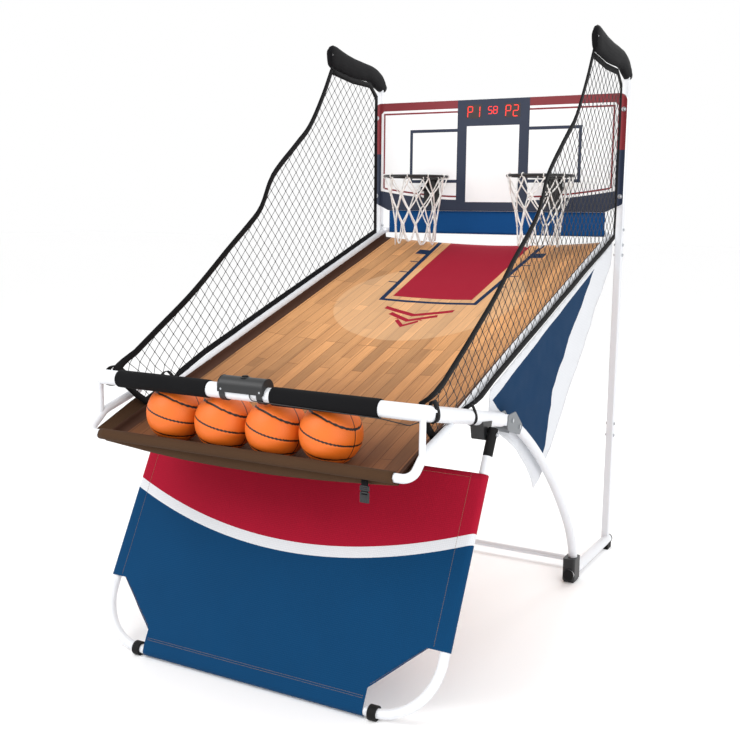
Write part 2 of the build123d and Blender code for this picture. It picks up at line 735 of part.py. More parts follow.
# ---------------------------------------------------------------- balls
ball_r = ball_d / 2
for i in range(ball_count):
    x = ball_row_x + (i - (ball_count - 1) / 2) * (ball_d + 1)
    cloth_drop = play_sag * (1 - (x / play_half) ** 2)
    ball_z = ramp_z(ball_y) - cloth_drop + (ball_r + 1.2) / math.cos(ramp_angle)
    ball = Sphere(ball_r) - Sphere(ball_r - ball_wall)
    save(f"ball_{i + 1}", Pos(x, ball_y, ball_z) * ball)

# ---------------------------------------------------------------- side cloth and nets
panel_x = rail_x + rail_d / 2 + 0.2
panel_outline = polygon(
    (board_front_y - 6, rail_z(board_front_y) + 2),
    (board_front_y - 6, 1176),
    (135, 486),
    (88, 462),
    (58, 446),
    (-29, 548),
    (-120, 616),
    (-215, 672),
    (-300, 712),
    (hinge_y - 84, 740),
    (hinge_y - 84, rail_z(hinge_y - 84) - 4),
)
panel = sheet_yz(panel_outline, panel_x, cloth)
pair("side_panel", panel)

net_x = frame_x - 12.0
net_split = -1010.0
net_split_y = upright_y + net_split
net_front = [(-429, 1948), (-500, 1836), (-599, 1708), (-700, 1630), (-858, 1508), (-934, 1392)]
net_front.append((net_split, 1330))
net_rear_points = [(upright_y - upright_side / 2 - board_t - 14, 1868)]
net_rear_points += [(upright_y - 106, 1917), (upright_y - 260, 1919), (upright_y - 415, 1937)]
net_rear_points += [(upright_y + y, z) for y, z in net_front]
net_rear_points += [(net_split_y, rail_z(net_split_y)), (board_front_y - 14, rail_z(board_front_y))]
side_net = sheet_yz(polygon(*net_rear_points), net_x, net_t)
pair("side_net", side_net)
net_front_points = [
    (net_split_y - fit, rail_z(net_split_y)),
    (net_split_y - fit, 1328),
    (upright_y - 1144, 1240),
    (upright_y - 1338, 1105),
    (upright_y - 1630, 930),
    (upright_y - 1740, arm_z(upright_y - 1740) + 26),
    (hinge_y - 84, rail_z(hinge_y - 84)),
]
front_net = sheet_yz(polygon(*net_front_points), net_x, net_t)
skirt_y = (hinge_y - 222.0, wing_rear_y + 3)
skirt = polygon(
    (skirt_y[0], ramp_z(skirt_y[0]) + 6),
    (skirt_y[1], ramp_z(skirt_y[1]) + 6),
    (skirt_y[1], arm_z(skirt_y[1]) + 24),
)
skirt = sheet_yz(skirt, skirt_x, net_t)
save("side_net_front", Compound(children=both(front_net) + both(skirt)))

sleeve_outline = polygon(
    (upright_y + sleeve_overhang, 1918),
    (upright_y - 9, 1963),
    (upright_y - 76, 1987),
    (upright_y - 252, 2004),
    (upright_y - 412, 2032),
    (upright_y - 446, 2005),
    (upright_y - 429, 1948),
    (upright_y - 415, 1939),
    (upright_y - 260, 1921),
    (upright_y - 106, 1919),
    (upright_y - 20, 1890),
    (upright_y + 20, 1890),
)
sleeve_t = socket_tube_d + 2 * fit + 2 * cloth
sleeve = sheet_yz(sleeve_outline, upright_x - sleeve_t / 2, sleeve_t)
sleeve_inside_x = upright_x - sleeve_t / 2 + cloth
sleeve_hollow = sheet_yz(offset(sleeve_outline, -cloth), sleeve_inside_x, sleeve_t - 2 * cloth)
neck = block(
    (inner_upright_x - fit, inner_upright_x + upright_side + fit),
    (upright_y - upright_side / 2 - fit, upright_y + upright_side / 2 + fit),
    (1800, 1900),
)
pair("net_sleeve", sleeve - sleeve_hollow - neck)

# ---------------------------------------------------------------- frame bolts
bolts = [cross_bolt(inner_upright_x, upright_x + upright_side / 2, upright_y, z) for z in upright_bolt_z]
bracket_faces = (frame_x - bracket_half - plate_t, frame_x + bracket_half + plate_t)
bolts.append(low_bolt(*bracket_faces, hinge_y, hinge_z, pivot_bolt_d))
bolts.append(low_bolt(*bracket_faces, *bracket_bolt_at, frame_bolt_d))
save("frame_bolts", Compound(children=[side for bolt in bolts for side in both(bolt)]))
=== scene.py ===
import bmesh
import bpy
import json
import math
from mathutils import Matrix, Vector, noise


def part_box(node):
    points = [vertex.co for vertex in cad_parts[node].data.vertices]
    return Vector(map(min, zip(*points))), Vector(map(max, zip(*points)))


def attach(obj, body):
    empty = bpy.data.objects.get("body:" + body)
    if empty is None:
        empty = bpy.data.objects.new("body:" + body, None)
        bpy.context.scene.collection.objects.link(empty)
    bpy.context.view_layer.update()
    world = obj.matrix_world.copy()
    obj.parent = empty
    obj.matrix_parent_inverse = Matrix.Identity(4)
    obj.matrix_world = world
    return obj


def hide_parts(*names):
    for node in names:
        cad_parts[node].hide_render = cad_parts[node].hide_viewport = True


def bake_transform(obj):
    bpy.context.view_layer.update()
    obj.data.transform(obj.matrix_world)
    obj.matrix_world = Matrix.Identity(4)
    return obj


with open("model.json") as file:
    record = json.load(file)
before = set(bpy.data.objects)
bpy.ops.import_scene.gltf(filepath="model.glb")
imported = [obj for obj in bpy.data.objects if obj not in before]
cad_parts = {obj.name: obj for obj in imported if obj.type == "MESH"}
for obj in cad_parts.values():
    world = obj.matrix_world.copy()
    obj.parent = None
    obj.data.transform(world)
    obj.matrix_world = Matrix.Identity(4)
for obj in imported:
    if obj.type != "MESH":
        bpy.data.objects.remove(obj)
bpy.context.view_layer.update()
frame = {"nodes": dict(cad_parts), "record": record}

bl_info = {
    "name": "Basketball Hoop Machine",
    "version": (1, 0, 0),
    "blender": (4, 5, 0),
    "location": "View3D > Sidebar > Hoop Machine",
    "description": "Cloth, nets, balls and finishes of a folding basketball hoop machine",
    "category": "Object",
}

# Sizes in metres, in the machine's own frame: +Z up, the player stands on the -Y side.
MM = 0.001
TAU = 2 * math.pi


# ------------------------------------------------------------------ settings
class HoopCloth(bpy.types.PropertyGroup):
    """Sizes of the cloth pieces."""

    sag: bpy.props.FloatProperty(
        name="Playfield sag", description="How far the playfield hangs in the middle", default=0.028, unit="LENGTH"
    )
    wrinkle: bpy.props.FloatProperty(
        name="Wrinkle depth", description="Height of the small creases", default=0.0016, unit="LENGTH"
    )
    stitch: bpy.props.FloatProperty(
        name="Stitch pitch", description="Distance from one stitch to the next", default=0.006, unit="LENGTH"
    )
    stripe: bpy.props.FloatProperty(
        name="Stripe width", description="Height of the white stripe on the banner", default=0.029, unit="LENGTH"
    )


class HoopNets(bpy.types.PropertyGroup):
    """Sizes of the nets."""

    cell: bpy.props.FloatProperty(
        name="Side net cell", description="Distance from knot to knot", default=0.034, unit="LENGTH"
    )
    strand: bpy.props.FloatProperty(
        name="Side net strand", description="Strand diameter of the side nets", default=0.0021, unit="LENGTH"
    )
    rope: bpy.props.FloatProperty(
        name="Hoop net rope", description="Rope diameter of the hoop nets", default=0.0058, unit="LENGTH"
    )
    border: bpy.props.FloatProperty(
        name="Border width", description="Width of the webbing round a side net", default=0.022, unit="LENGTH"
    )


class HoopColours(bpy.types.PropertyGroup):
    """Main colours, as sRGB hex values."""

    red: bpy.props.StringProperty(name="Red", description="Red print", default="#A5122E")
    navy: bpy.props.StringProperty(name="Navy", description="Navy blue print", default="#0E2A4C")
    blue: bpy.props.StringProperty(name="Blue", description="Blue cloth", default="#033256")
    ball: bpy.props.StringProperty(name="Ball", description="Ball rubber", default="#E06C15")
    steel: bpy.props.StringProperty(name="Frame", description="Powder coat on the tubes", default="#DDDFE3")


# ------------------------------------------------------------------ node and material helpers
def linear(code):
    """sRGB hex to the linear colour that shaders use."""
    parts = [int(code[i : i + 2], 16) / 255 for i in (1, 3, 5)]
    return tuple(c / 12.92 if c <= 0.04045 else ((c + 0.055) / 1.055) ** 2.4 for c in parts) + (1.0,)


def add(tree, kind, values=None, links=None, **settings):
    """One node with its settings, socket values and incoming links."""
    made = tree.nodes.new(kind)
    for key, value in settings.items():
        setattr(made, key, value)
    for key, value in (values or {}).items():
        made.inputs[key].default_value = value
    for key, source in (links or {}).items():
        tree.links.new(source, made.inputs[key])
    return made


def finish(name, code, **sockets):
    """A new material with a plain shader: (material, tree, shader)."""
    made = bpy.data.materials.new(name)
    made.use_nodes = True
    tree = made.node_tree
    shader = tree.nodes["Principled BSDF"]
    shader.inputs["Base Color"].default_value = linear(code)
    for key, value in sockets.items():
        shader.inputs[key.replace("_", " ")].default_value = value
    return made, tree, shader


MATERIALS = {}


def coated(name, code, grain_mm, depth, roughness, **sockets):
    """Paint, plastic or rubber with a fine skin texture in Object coordinates."""
    made, tree, shader = finish(name, code, Roughness=roughness, **sockets)
    place = add(tree, "ShaderNodeTexCoord")
    skin = add(
        tree,
        "ShaderNodeTexNoise",
        {"Scale": 1000 / grain_mm, "Detail": 2.0},
        {"Vector": place.outputs["Object"]},
    )
    bump = add(
        tree,
        "ShaderNodeBump",
        {"Strength": depth, "Distance": grain_mm * MM * 0.3},
        {"Height": skin.outputs[0]},
    )
    tree.links.new(bump.outputs[0], shader.inputs["Normal"])
    dirt = add(tree, "ShaderNodeTexNoise", {"Scale": 9.0, "Detail": 4.0}, {"Vector": place.outputs["Object"]})
    spread = add(
        tree,
        "ShaderNodeMapRange",
        {"To Min": roughness - 0.05, "To Max": roughness + 0.08},
        {"Value": dirt.outputs[0]},
    )
    tree.links.new(spread.outputs[0], shader.inputs["Roughness"])
    return made, tree, shader


def woven(name, code, thread_mm=0.9, shade=0.05, sheen=0.02, rough=0.85):
    """Plain-weave polyester: threads cross at right angles, drawn coarser than life so that they show."""
    made, tree, shader = finish(name, code, Roughness=rough, Sheen_Weight=sheen)
    shader.inputs["Specular IOR Level"].default_value = 0.12
    place = add(tree, "ShaderNodeUVMap", uv_map="flat")
    # Thread spacing is in millimetres and the UV map is in metres.
    across = add(
        tree,
        "ShaderNodeTexWave",
        {"Scale": 1000 / thread_mm / 20, "Distortion": 0.6},
        {"Vector": place.outputs[0]},
        bands_direction="X",
    )
    along = add(
        tree,
        "ShaderNodeTexWave",
        {"Scale": 1000 / thread_mm / 20, "Distortion": 0.6},
        {"Vector": place.outputs[0]},
        bands_direction="Y",
    )
    cross = add(
        tree, "ShaderNodeMath", links={0: across.outputs["Fac"], 1: along.outputs["Fac"]}, operation="MULTIPLY"
    )
    bump = add(tree, "ShaderNodeBump", {"Strength": 0.35, "Distance": 0.0006}, {"Height": cross.outputs[0]})
    tree.links.new(bump.outputs[0], shader.inputs["Normal"])
    patch = add(tree, "ShaderNodeTexNoise", {"Scale": 6.0, "Detail": 5.0}, {"Vector": place.outputs[0]})
    tone = add(tree, "ShaderNodeMix", {"Factor": 0.5}, {"Factor": patch.outputs[0]}, data_type="RGBA")
    dark = linear(code)
    tone.inputs[6].default_value = tuple(c * (1 - shade) for c in dark[:3]) + (1,)
    tone.inputs[7].default_value = tuple(min(1.0, c * (1 + shade)) for c in dark[:3]) + (1,)
    # Up to 12% darker where the weave's bump is low: painted shade in the hollows between threads.
    thread = add(
        tree, "ShaderNodeMix", {"Factor": 0.12}, {6: tone.outputs[2]}, data_type="RGBA", blend_type="MULTIPLY"
    )
    tree.links.new(cross.outputs[0], thread.inputs[7])
    tree.links.new(thread.outputs[2], shader.inputs["Base Color"])
    return made, tree, shader


def court_cloth():
    """Polyester printed with hardwood: boards 42 mm wide down the slope, with joints and grain, and a tone that
    varies in patches and darkens and reddens towards the tray.
    """
    made, tree, shader = woven("printed_hardwood_cloth", "#C79A70", 0.9, 0.04, 0.05, 0.62)
    base = shader.inputs["Base Color"].links[0].from_socket
    place = add(tree, "ShaderNodeUVMap", uv_map="flat")
    turned = add(tree, "ShaderNodeMapping", {"Rotation": (0, 0, math.pi / 2)}, {"Vector": place.outputs[0]})
    boards = add(
        tree,
        "ShaderNodeTexBrick",
        {
            "Scale": 1.0,
            "Mortar Size": 0.0011,
            "Mortar Smooth": 0.2,
            "Bias": 0.0,
            "Brick Width": 0.52,
            "Row Height": 0.042,
            "Color1": (0.72, 0.72, 0.72, 1),
            "Color2": (1.18, 1.14, 1.08, 1),
            "Mortar": (0.42, 0.33, 0.27, 1),
        },
        {"Vector": turned.outputs[0]},
        offset=0.37,
        offset_frequency=3,
    )
    shift = add(
        tree,
        "ShaderNodeMapping",
        {"Scale": (1.0, 0.75, 1.0), "Location": (0.13, 0.07, 0)},
        {"Vector": turned.outputs[0]},
    )
    second = add(
        tree,
        "ShaderNodeTexBrick",
        {
            "Scale": 1.0,
            "Mortar Size": 0.0,
            "Bias": 0.0,
            "Brick Width": 0.39,
            "Row Height": 0.0315,
            "Color1": (0.86, 0.84, 0.82, 1),
            "Color2": (1.1, 1.1, 1.08, 1),
        },
        {"Vector": shift.outputs[0]},
        offset=0.61,
        offset_frequency=2,
    )
    fibre = add(tree, "ShaderNodeMapping", {"Scale": (260.0, 9.0, 1.0)}, {"Vector": place.outputs[0]})
    grain = add(
        tree,
        "ShaderNodeTexNoise",
        {"Scale": 1.0, "Detail": 4.0, "Roughness": 0.6},
        {"Vector": fibre.outputs[0]},
    )
    lines = add(
        tree,
        "ShaderNodeMapRange",
        {"From Min": 0.35, "From Max": 0.75, "To Min": 1.08, "To Max": 0.8},
        {"Value": grain.outputs[0]},
    )
    a = add(
        tree,
        "ShaderNodeMix",
        {"Factor": 1.0},
        {6: base, 7: boards.outputs[0]},
        data_type="RGBA",
        blend_type="MULTIPLY",
    )
    b = add(
        tree,
        "ShaderNodeMix",
        {"Factor": 1.0},
        {6: a.outputs[2], 7: second.outputs[0]},
        data_type="RGBA",
        blend_type="MULTIPLY",
    )
    c = add(
        tree,
        "ShaderNodeMix",
        {"Factor": 1.0},
        {6: b.outputs[2], 7: lines.outputs[0]},
        data_type="RGBA",
        blend_type="MULTIPLY",
    )
    # The boards darken and redden towards the tray, and a paler disc lies below the key.
    split = add(tree, "ShaderNodeSeparateXYZ", links={0: place.outputs[0]})
    fall = add(
        tree,
        "ShaderNodeMapRange",
        {"From Min": 0.75, "From Max": 1.88},
        {"Value": split.outputs[1]},
        interpolation_type="SMOOTHSTEP",
    )
    tint = add(tree, "ShaderNodeMix", links={"Factor": fall.outputs[0]}, data_type="RGBA")
    tint.inputs[6].default_value = (1.22, 1.10, 0.92, 1)
    tint.inputs[7].default_value = (0.30, 0.20, 0.15, 1)
    d = add(
        tree,
        "ShaderNodeMix",
        {"Factor": 1.0},
        {6: c.outputs[2], 7: tint.outputs[2]},
        data_type="RGBA",
        blend_type="MULTIPLY",
    )
    reach = add(
        tree, "ShaderNodeVectorMath", {1: (0.0, 0.62, 0.0)}, {0: place.outputs[0]}, operation="DISTANCE"
    )
    disc = add(
        tree,
        "ShaderNodeMapRange",
        {"From Min": 0.362, "From Max": 0.366, "To Min": 0.26, "To Max": 0.0},
        {"Value": reach.outputs["Value"]},
    )
    e = add(tree, "ShaderNodeMix", links={"Factor": disc.outputs[0], 6: d.outputs[2]}, data_type="RGBA")
    e.inputs[7].default_value = linear("#EBC79E")
    tree.links.new(e.outputs[2], shader.inputs["Base Color"])
    return made


def ball_rubber(code):
    """Moulded orange rubber: pebbles 2.2 mm apart, smooth black channels where the seam attribute is high."""
    made, tree, shader = finish("moulded_ball_rubber", code, Roughness=0.52)
    place = add(tree, "ShaderNodeTexCoord")
    seam = add(tree, "ShaderNodeAttribute", attribute_name="seam")
    edge = add(tree, "ShaderNodeMapRange", {"From Min": 0.45, "From Max": 0.6}, {"Value": seam.outputs["Fac"]})
    mix = add(tree, "ShaderNodeMix", links={"Factor": edge.outputs[0]}, data_type="RGBA")
    mottle = add(
        tree, "ShaderNodeTexNoise", {"Scale": 30.0, "Detail": 3.0}, {"Vector": place.outputs["Object"]}
    )
    rubber = add(tree, "ShaderNodeMix", links={"Factor": mottle.outputs[0]}, data_type="RGBA")
    rubber.inputs[6].default_value = linear("#E66A18")
    rubber.inputs[7].default_value = linear(code)
    tree.links.new(rubber.outputs[2], mix.inputs[6])
    mix.inputs[7].default_value = linear("#14110F")
    tree.links.new(mix.outputs[2], shader.inputs["Base Color"])
    pebble = add(tree, "ShaderNodeTexVoronoi", {"Scale": 1000 / 2.2}, {"Vector": place.outputs["Object"]})
    flat = add(tree, "ShaderNodeMath", {0: 1.0}, {1: edge.outputs[0]}, operation="SUBTRACT")
    height = add(
        tree, "ShaderNodeMath", links={0: pebble.outputs["Distance"], 1: flat.outputs[0]}, operation="MULTIPLY"
    )
    bump = add(
        tree,
        "ShaderNodeBump",
        {"Strength": 0.5, "Distance": 0.0006},
        {"Height": height.outputs[0]},
        invert=True,
    )
    tree.links.new(bump.outputs[0], shader.inputs["Normal"])
    return made


def twisted(name, code, pitch_mm, rough=0.8):
    """Braided or twisted cord: fine slanting strands across its length, with painted shade in the grooves between
    them.
    """
    made, tree, shader = finish(name, code, Roughness=rough, Sheen_Weight=0.2)
    place = add(tree, "ShaderNodeTexCoord")
    lay = add(
        tree,
        "ShaderNodeTexWave",
        {"Scale": 1000 / pitch_mm / 20, "Distortion": 1.5},
        {"Vector": place.outputs["Object"]},
        bands_direction="DIAGONAL",
    )
    bump = add(tree, "ShaderNodeBump", {"Strength": 0.6, "Distance": 0.0008}, {"Height": lay.outputs["Fac"]})
    tree.links.new(bump.outputs[0], shader.inputs["Normal"])
    # The colour drops to 78% where the bump is low: painted shade in the grooves between strands.
    dark = linear(code)
    tone = add(tree, "ShaderNodeMix", links={"Factor": lay.outputs["Fac"]}, data_type="RGBA")
    tone.inputs[6].default_value = tuple(c * 0.78 for c in dark[:3]) + (1,)
    tone.inputs[7].default_value = dark
    tree.links.new(tone.outputs[2], shader.inputs["Base Color"])
    return made


def make_materials(colours):
    """Every finish on the machine, by short name."""
    kit = {
        # Powder coat on steel tube: even, slightly pebbled, soft highlights.
        "steel": coated("white_powder_coated_steel", colours.steel, 1.1, 0.12, 0.36, Coat_Weight=0.15)[0],
        "grey": coated("grey_powder_coated_steel", "#6E7276", 1.1, 0.15, 0.42)[0],
        "black_steel": coated("black_powder_coated_steel", "#121214", 1.0, 0.15, 0.36)[0],
        # Zinc-plated fasteners: bright, faintly brushed.
        "zinc": coated("zinc_plated_steel", "#B9BCC0", 0.6, 0.1, 0.3, Metallic=1.0)[0],
        # EVA foam: closed cells about 1.5 mm wide, very matt.
        "foam": coated("black_eva_foam", "#0E0E10", 1.6, 0.6, 0.86, Specular_IOR_Level=0.15)[0],
        # ABS from a spark-eroded mould: fine even grain.
        "abs": coated("black_moulded_abs", "#17181A", 0.8, 0.25, 0.44)[0],
        "rubber": coated("black_moulded_rubber", "#0C0C0D", 1.3, 0.3, 0.7, Specular_IOR_Level=0.25)[0],
        "jacket": coated("black_pvc_cable_jacket", "#131314", 1.0, 0.1, 0.4)[0],
        # Printed hardboard with a satin varnish.
        "board": coated("white_printed_hardboard", "#F3F4F5", 1.4, 0.05, 0.3, Coat_Weight=0.3)[0],
        "board_red": coated("red_printed_hardboard", "#7A0A1A", 1.4, 0.05, 0.5, Coat_Weight=0.08)[0],
        "board_navy": coated("navy_printed_hardboard", "#081B38", 1.4, 0.05, 0.5, Coat_Weight=0.08)[0],
        "tint": coated("unlit_display_segment", "#1D0B0A", 2.0, 0.02, 0.3)[0],
        "rope": twisted("white_braided_nylon", "#F0EEEB", 3.0),
        "strand": twisted("black_knotted_nylon", "#101012", 2.0),
        "webbing": woven("black_polyester_webbing", "#141416", 1.4, 0.1)[0],
        "black_cloth": woven("black_oxford_cloth", "#0E0E11", 0.9, 0.1)[0],
        "white_cloth": woven("white_oxford_cloth", "#DFE1E5", 0.9, 0.03)[0],
        "panel_blue": woven("blue_printed_oxford_cloth", colours.blue, 0.9, 0.06)[0],
        "backdrop": woven("bright_blue_oxford_cloth", "#134F8C", 0.9, 0.06)[0],
        "banner_blue": woven("deep_blue_printed_oxford_cloth", "#043D66", 0.9, 0.08)[0],
        "banner_red": woven("red_printed_oxford_cloth", colours.red, 0.9, 0.07)[0],
        "key_red": woven("key_red_printed_cloth", "#A3152F", 0.9, 0.06)[0],
        "print_navy": woven("navy_printed_cloth", colours.navy, 0.9, 0.05)[0],
        # Dark brown band along the side rails: painted shade where the cloth meets the rails.
        "rail_shade_band": woven("painted_rail_shade_cloth", "#4C3226", 0.9, 0.12)[0],
        "hem": woven("dark_brown_hem_cloth", "#4A3423", 0.9, 0.12)[0],
        "thread_white": twisted("white_sewing_thread", "#E4E4E4", 1.0),
        "thread_brown": twisted("brown_sewing_thread", "#8D735A", 1.0),
        "court": court_cloth(),
        "ball": ball_rubber(colours.ball),
    }
    glow, _, shader = finish("red_led_segment", "#FF2A1C", Roughness=0.3)
    shader.inputs["Emission Color"].default_value = linear("#FF2415")
    shader.inputs["Emission Strength"].default_value = 0.8
    kit["led"] = glow
    return kit


# ------------------------------------------------------------------ mesh helpers
class Shape:
    """Collects vertices, faces, face materials and UV corners of one piece."""

    def __init__(self):
        self.verts, self.faces, self.mats, self.uvs = [], [], [], []

    def point(self, p):
        self.verts.append(Vector(p))
        return len(self.verts) - 1

    def face(self, corners, mat=0, uv=None):
        self.faces.append(tuple(corners))
        self.mats.append(mat)
        self.uvs.append(uv or [(0.0, 0.0)] * len(corners))

    def grid(self, rows, mat=0, uv=None):
        """A quad grid through rows of points; uv(i, j) takes the row and column."""
        first = len(self.verts)
        width = len(rows[0])
        for row in rows:
            for p in row:
                self.point(p)
        for i in range(len(rows) - 1):
            for j in range(width - 1):
                corners = [(i, j), (i, j + 1), (i + 1, j + 1), (i + 1, j)]
                marks = [uv(a, b) for a, b in corners] if uv else None
                self.face([first + a * width + b for a, b in corners], mat, marks)

    def tube(self, path, radius, sides=10, mat=0, closed=False, flat=1.0, up=(0, 0, 1)):
        """A round or flattened tube along a list of points."""
        path = [Vector(p) for p in path]
        count = len(path)
        first = len(self.verts)
        side = None
        length = 0.0
        marks = []
        for i, p in enumerate(path):
            before = path[i - 1] if i or closed else p
            after = path[(i + 1) % count] if i < count - 1 or closed else p
            along = (after - before).normalized()
            if side is None:
                side = along.cross(Vector(up))
                if side.length < 0.1:
                    side = along.cross(Vector((1, 0, 0)))
            side = (side - along * side.dot(along)).normalized()
            other = along.cross(side)
            if i:
                length += (p - path[i - 1]).length
            marks.append(length)
            size = radius(i / max(1, count - 1)) if callable(radius) else radius
            for k in range(sides):
                turn = TAU * k / sides
                self.point(p + side * math.cos(turn) * size + other * math.sin(turn) * size * flat)
        for i in range(count if closed else count - 1):
            j = (i + 1) % count
            for k in range(sides):
                n = (k + 1) % sides
                corners = [
                    first + i * sides + k, first + i * sides + n, first + j * sides + n, first + j * sides + k
                ]
                far = marks[j] if j else length
                girth = TAU * 0.01
                uv = [
                    (k * girth / sides, marks[i]),
                    (n * girth / sides, marks[i]),
                    (n * girth / sides, far),
                    (k * girth / sides, far),
                ]
                self.face(corners, mat, uv)
        if not closed:
            self.face([first + k for k in reversed(range(sides))], mat)
            last = first + (count - 1) * sides
            self.face([last + k for k in range(sides)], mat)

    def slab(self, outline, push, mat=0):
        """A flat plate: outline points in order, pushed along a vector, with UVs in metres."""
        low = [self.point(p) for p in outline]
        high = [self.point(Vector(p) + Vector(push)) for p in outline]
        axes = sorted(range(3), key=lambda k: abs(Vector(push)[k]))[:2]
        uv = [(Vector(p)[min(axes)], Vector(p)[max(axes)]) for p in outline]
        self.face(high, mat, uv)
        self.face(list(reversed(low)), mat, list(reversed(uv)))
        for i in range(len(outline)):
            j = (i + 1) % len(outline)
            self.face([low[i], low[j], high[j], high[i]], mat)

    def make(self, name, materials, smooth=True, merge=0.0):
        """The finished object, with its place in its mesh."""
        mesh = bpy.data.meshes.new(name)
        mesh.from_pydata([tuple(v) for v in self.verts], [], self.faces)
        layer = mesh.uv_layers.new(name="flat")
        flat = [c for face in self.uvs for uv in face for c in uv]
        layer.data.foreach_set("uv", flat)
        mesh.polygons.foreach_set("material_index", self.mats)
        mesh.polygons.foreach_set("use_smooth", [smooth] * len(self.faces))
        for material in materials:
            mesh.materials.append(MATERIALS[material])
        work = bmesh.new()
        work.from_mesh(mesh)
        if merge:
            bmesh.ops.remove_doubles(work, verts=work.verts, dist=merge)
        bmesh.ops.recalc_face_normals(work, faces=work.faces)
        work.to_mesh(mesh)
        work.free()
        return link(name, mesh)


def link(name, mesh):
    """A mesh as an object in the scene."""
    made = bpy.data.objects.new(name, mesh)
    bpy.context.scene.collection.objects.link(made)
    return made


def settle(made):
    """Applies every modifier, so that the piece is one plain mesh."""
    bpy.context.view_layer.update()
    graph = bpy.context.evaluated_depsgraph_get()
    mesh = bpy.data.meshes.new_from_object(
        made.evaluated_get(graph), preserve_all_data_layers=True, depsgraph=graph
    )
    made.modifiers.clear()
    made.data = mesh
    made.data.name = made.name
    return made


def thicken(made, thickness, offset=0.0):
    """Gives an open sheet its cloth thickness."""
    wall = made.modifiers.new("wall", "SOLIDIFY")
    wall.thickness = thickness
    wall.offset = offset
    return settle(made)


def crisp(made, angle=35.0):
    """Smooth shading that breaks at sharp corners."""
    made.data.set_sharp_from_angle(angle=math.radians(angle))
    return made


def bevelled(made, width):
    """Rounds the hard edges of a small moulded or pressed piece."""
    soft = made.modifiers.new("edges", "BEVEL")
    soft.width = width
    soft.segments = 2
    soft.limit_method = "ANGLE"
    return crisp(settle(made))


def divided(path, parts):
    """The polyline with every stretch divided into equal parts."""
    out = []
    for a, b in zip(path, path[1:]):
        a, b = Vector(a), Vector(b)
        out += [a.lerp(b, k / parts) for k in range(parts)]
    return out + [Vector(path[-1])]


def smooth_path(points, step=0.02):
    """Points along a curve that passes through all the given ones."""
    points = [Vector(p) for p in points]
    padded = [points[0] * 2 - points[1]] + points + [points[-1] * 2 - points[-2]]
    out = []
    for a, b, c, d in zip(padded, padded[1:], padded[2:], padded[3:]):
        count = max(2, int((c - b).length / step))
        for k in range(count):
            t = k / count
            out.append(
                0.5 * (
                    2 * b + (c - a) * t + (2 * a - 5 * b + 4 * c - d) * t * t + (3 * b - a - 3 * c + d) * t**3
                )
            )
    return out + [points[-1]]


def crease(p, scale, depth, seed=0.0):
    """A repeatable small height for cloth creases."""
    q = Vector(p) * scale + Vector((seed, seed * 1.7, -seed))
    return depth * noise.noise(q)


# ------------------------------------------------------------------ geometry node trees
def strand_tree(name):
    """Turns the edges of a wire mesh into round strands with a knot on every crossing."""
    tree = bpy.data.node_groups.new(name, "GeometryNodeTree")
    tree.interface.new_socket("Geometry", in_out="INPUT", socket_type="NodeSocketGeometry")
    for label, default in (("Strand radius", 0.001), ("Knot radius", 0.0015)):
        socket = tree.interface.new_socket(label, in_out="INPUT", socket_type="NodeSocketFloat")
        socket.default_value = default
    tree.interface.new_socket("Sides", in_out="INPUT", socket_type="NodeSocketInt").default_value = 5
    tree.interface.new_socket("Finish", in_out="INPUT", socket_type="NodeSocketMaterial")
    tree.interface.new_socket("Geometry", in_out="OUTPUT", socket_type="NodeSocketGeometry")
    given = add(tree, "NodeGroupInput").outputs
    curve = add(tree, "GeometryNodeMeshToCurve", links={"Mesh": given["Geometry"]})
    ring = add(
        tree,
        "GeometryNodeCurvePrimitiveCircle",
        links={"Radius": given["Strand radius"], "Resolution": given["Sides"]},
    )
    rope = add(
        tree,
        "GeometryNodeCurveToMesh",
        {"Fill Caps": True},
        {"Curve": curve.outputs[0], "Profile Curve": ring.outputs[0]},
    )
    bead = add(tree, "GeometryNodeMeshIcoSphere", {"Subdivisions": 1}, {"Radius": given["Knot radius"]})
    mark = add(tree, "GeometryNodeInputNamedAttribute", {"Name": "knot"}, data_type="FLOAT")
    pick = add(tree, "FunctionNodeCompare", {1: 0.5}, {0: mark.outputs[0]}, operation="GREATER_THAN")
    spots = add(
        tree, "GeometryNodeMeshToPoints", links={"Mesh": given["Geometry"], "Selection": pick.outputs[0]}
    )
    knots = add(
        tree, "GeometryNodeInstanceOnPoints", links={"Points": spots.outputs[0], "Instance": bead.outputs[0]}
    )
    both = add(tree, "GeometryNodeJoinGeometry")
    tree.links.new(rope.outputs[0], both.inputs[0])
    tree.links.new(knots.outputs[0], both.inputs[0])
    real = add(tree, "GeometryNodeRealizeInstances", links={0: both.outputs[0]})
    soft = add(tree, "GeometryNodeSetShadeSmooth", links={0: real.outputs[0]})
    painted = add(tree, "GeometryNodeSetMaterial", links={0: soft.outputs[0], "Material": given["Finish"]})
    add(tree, "NodeGroupOutput", links={0: painted.outputs[0]})
    return tree


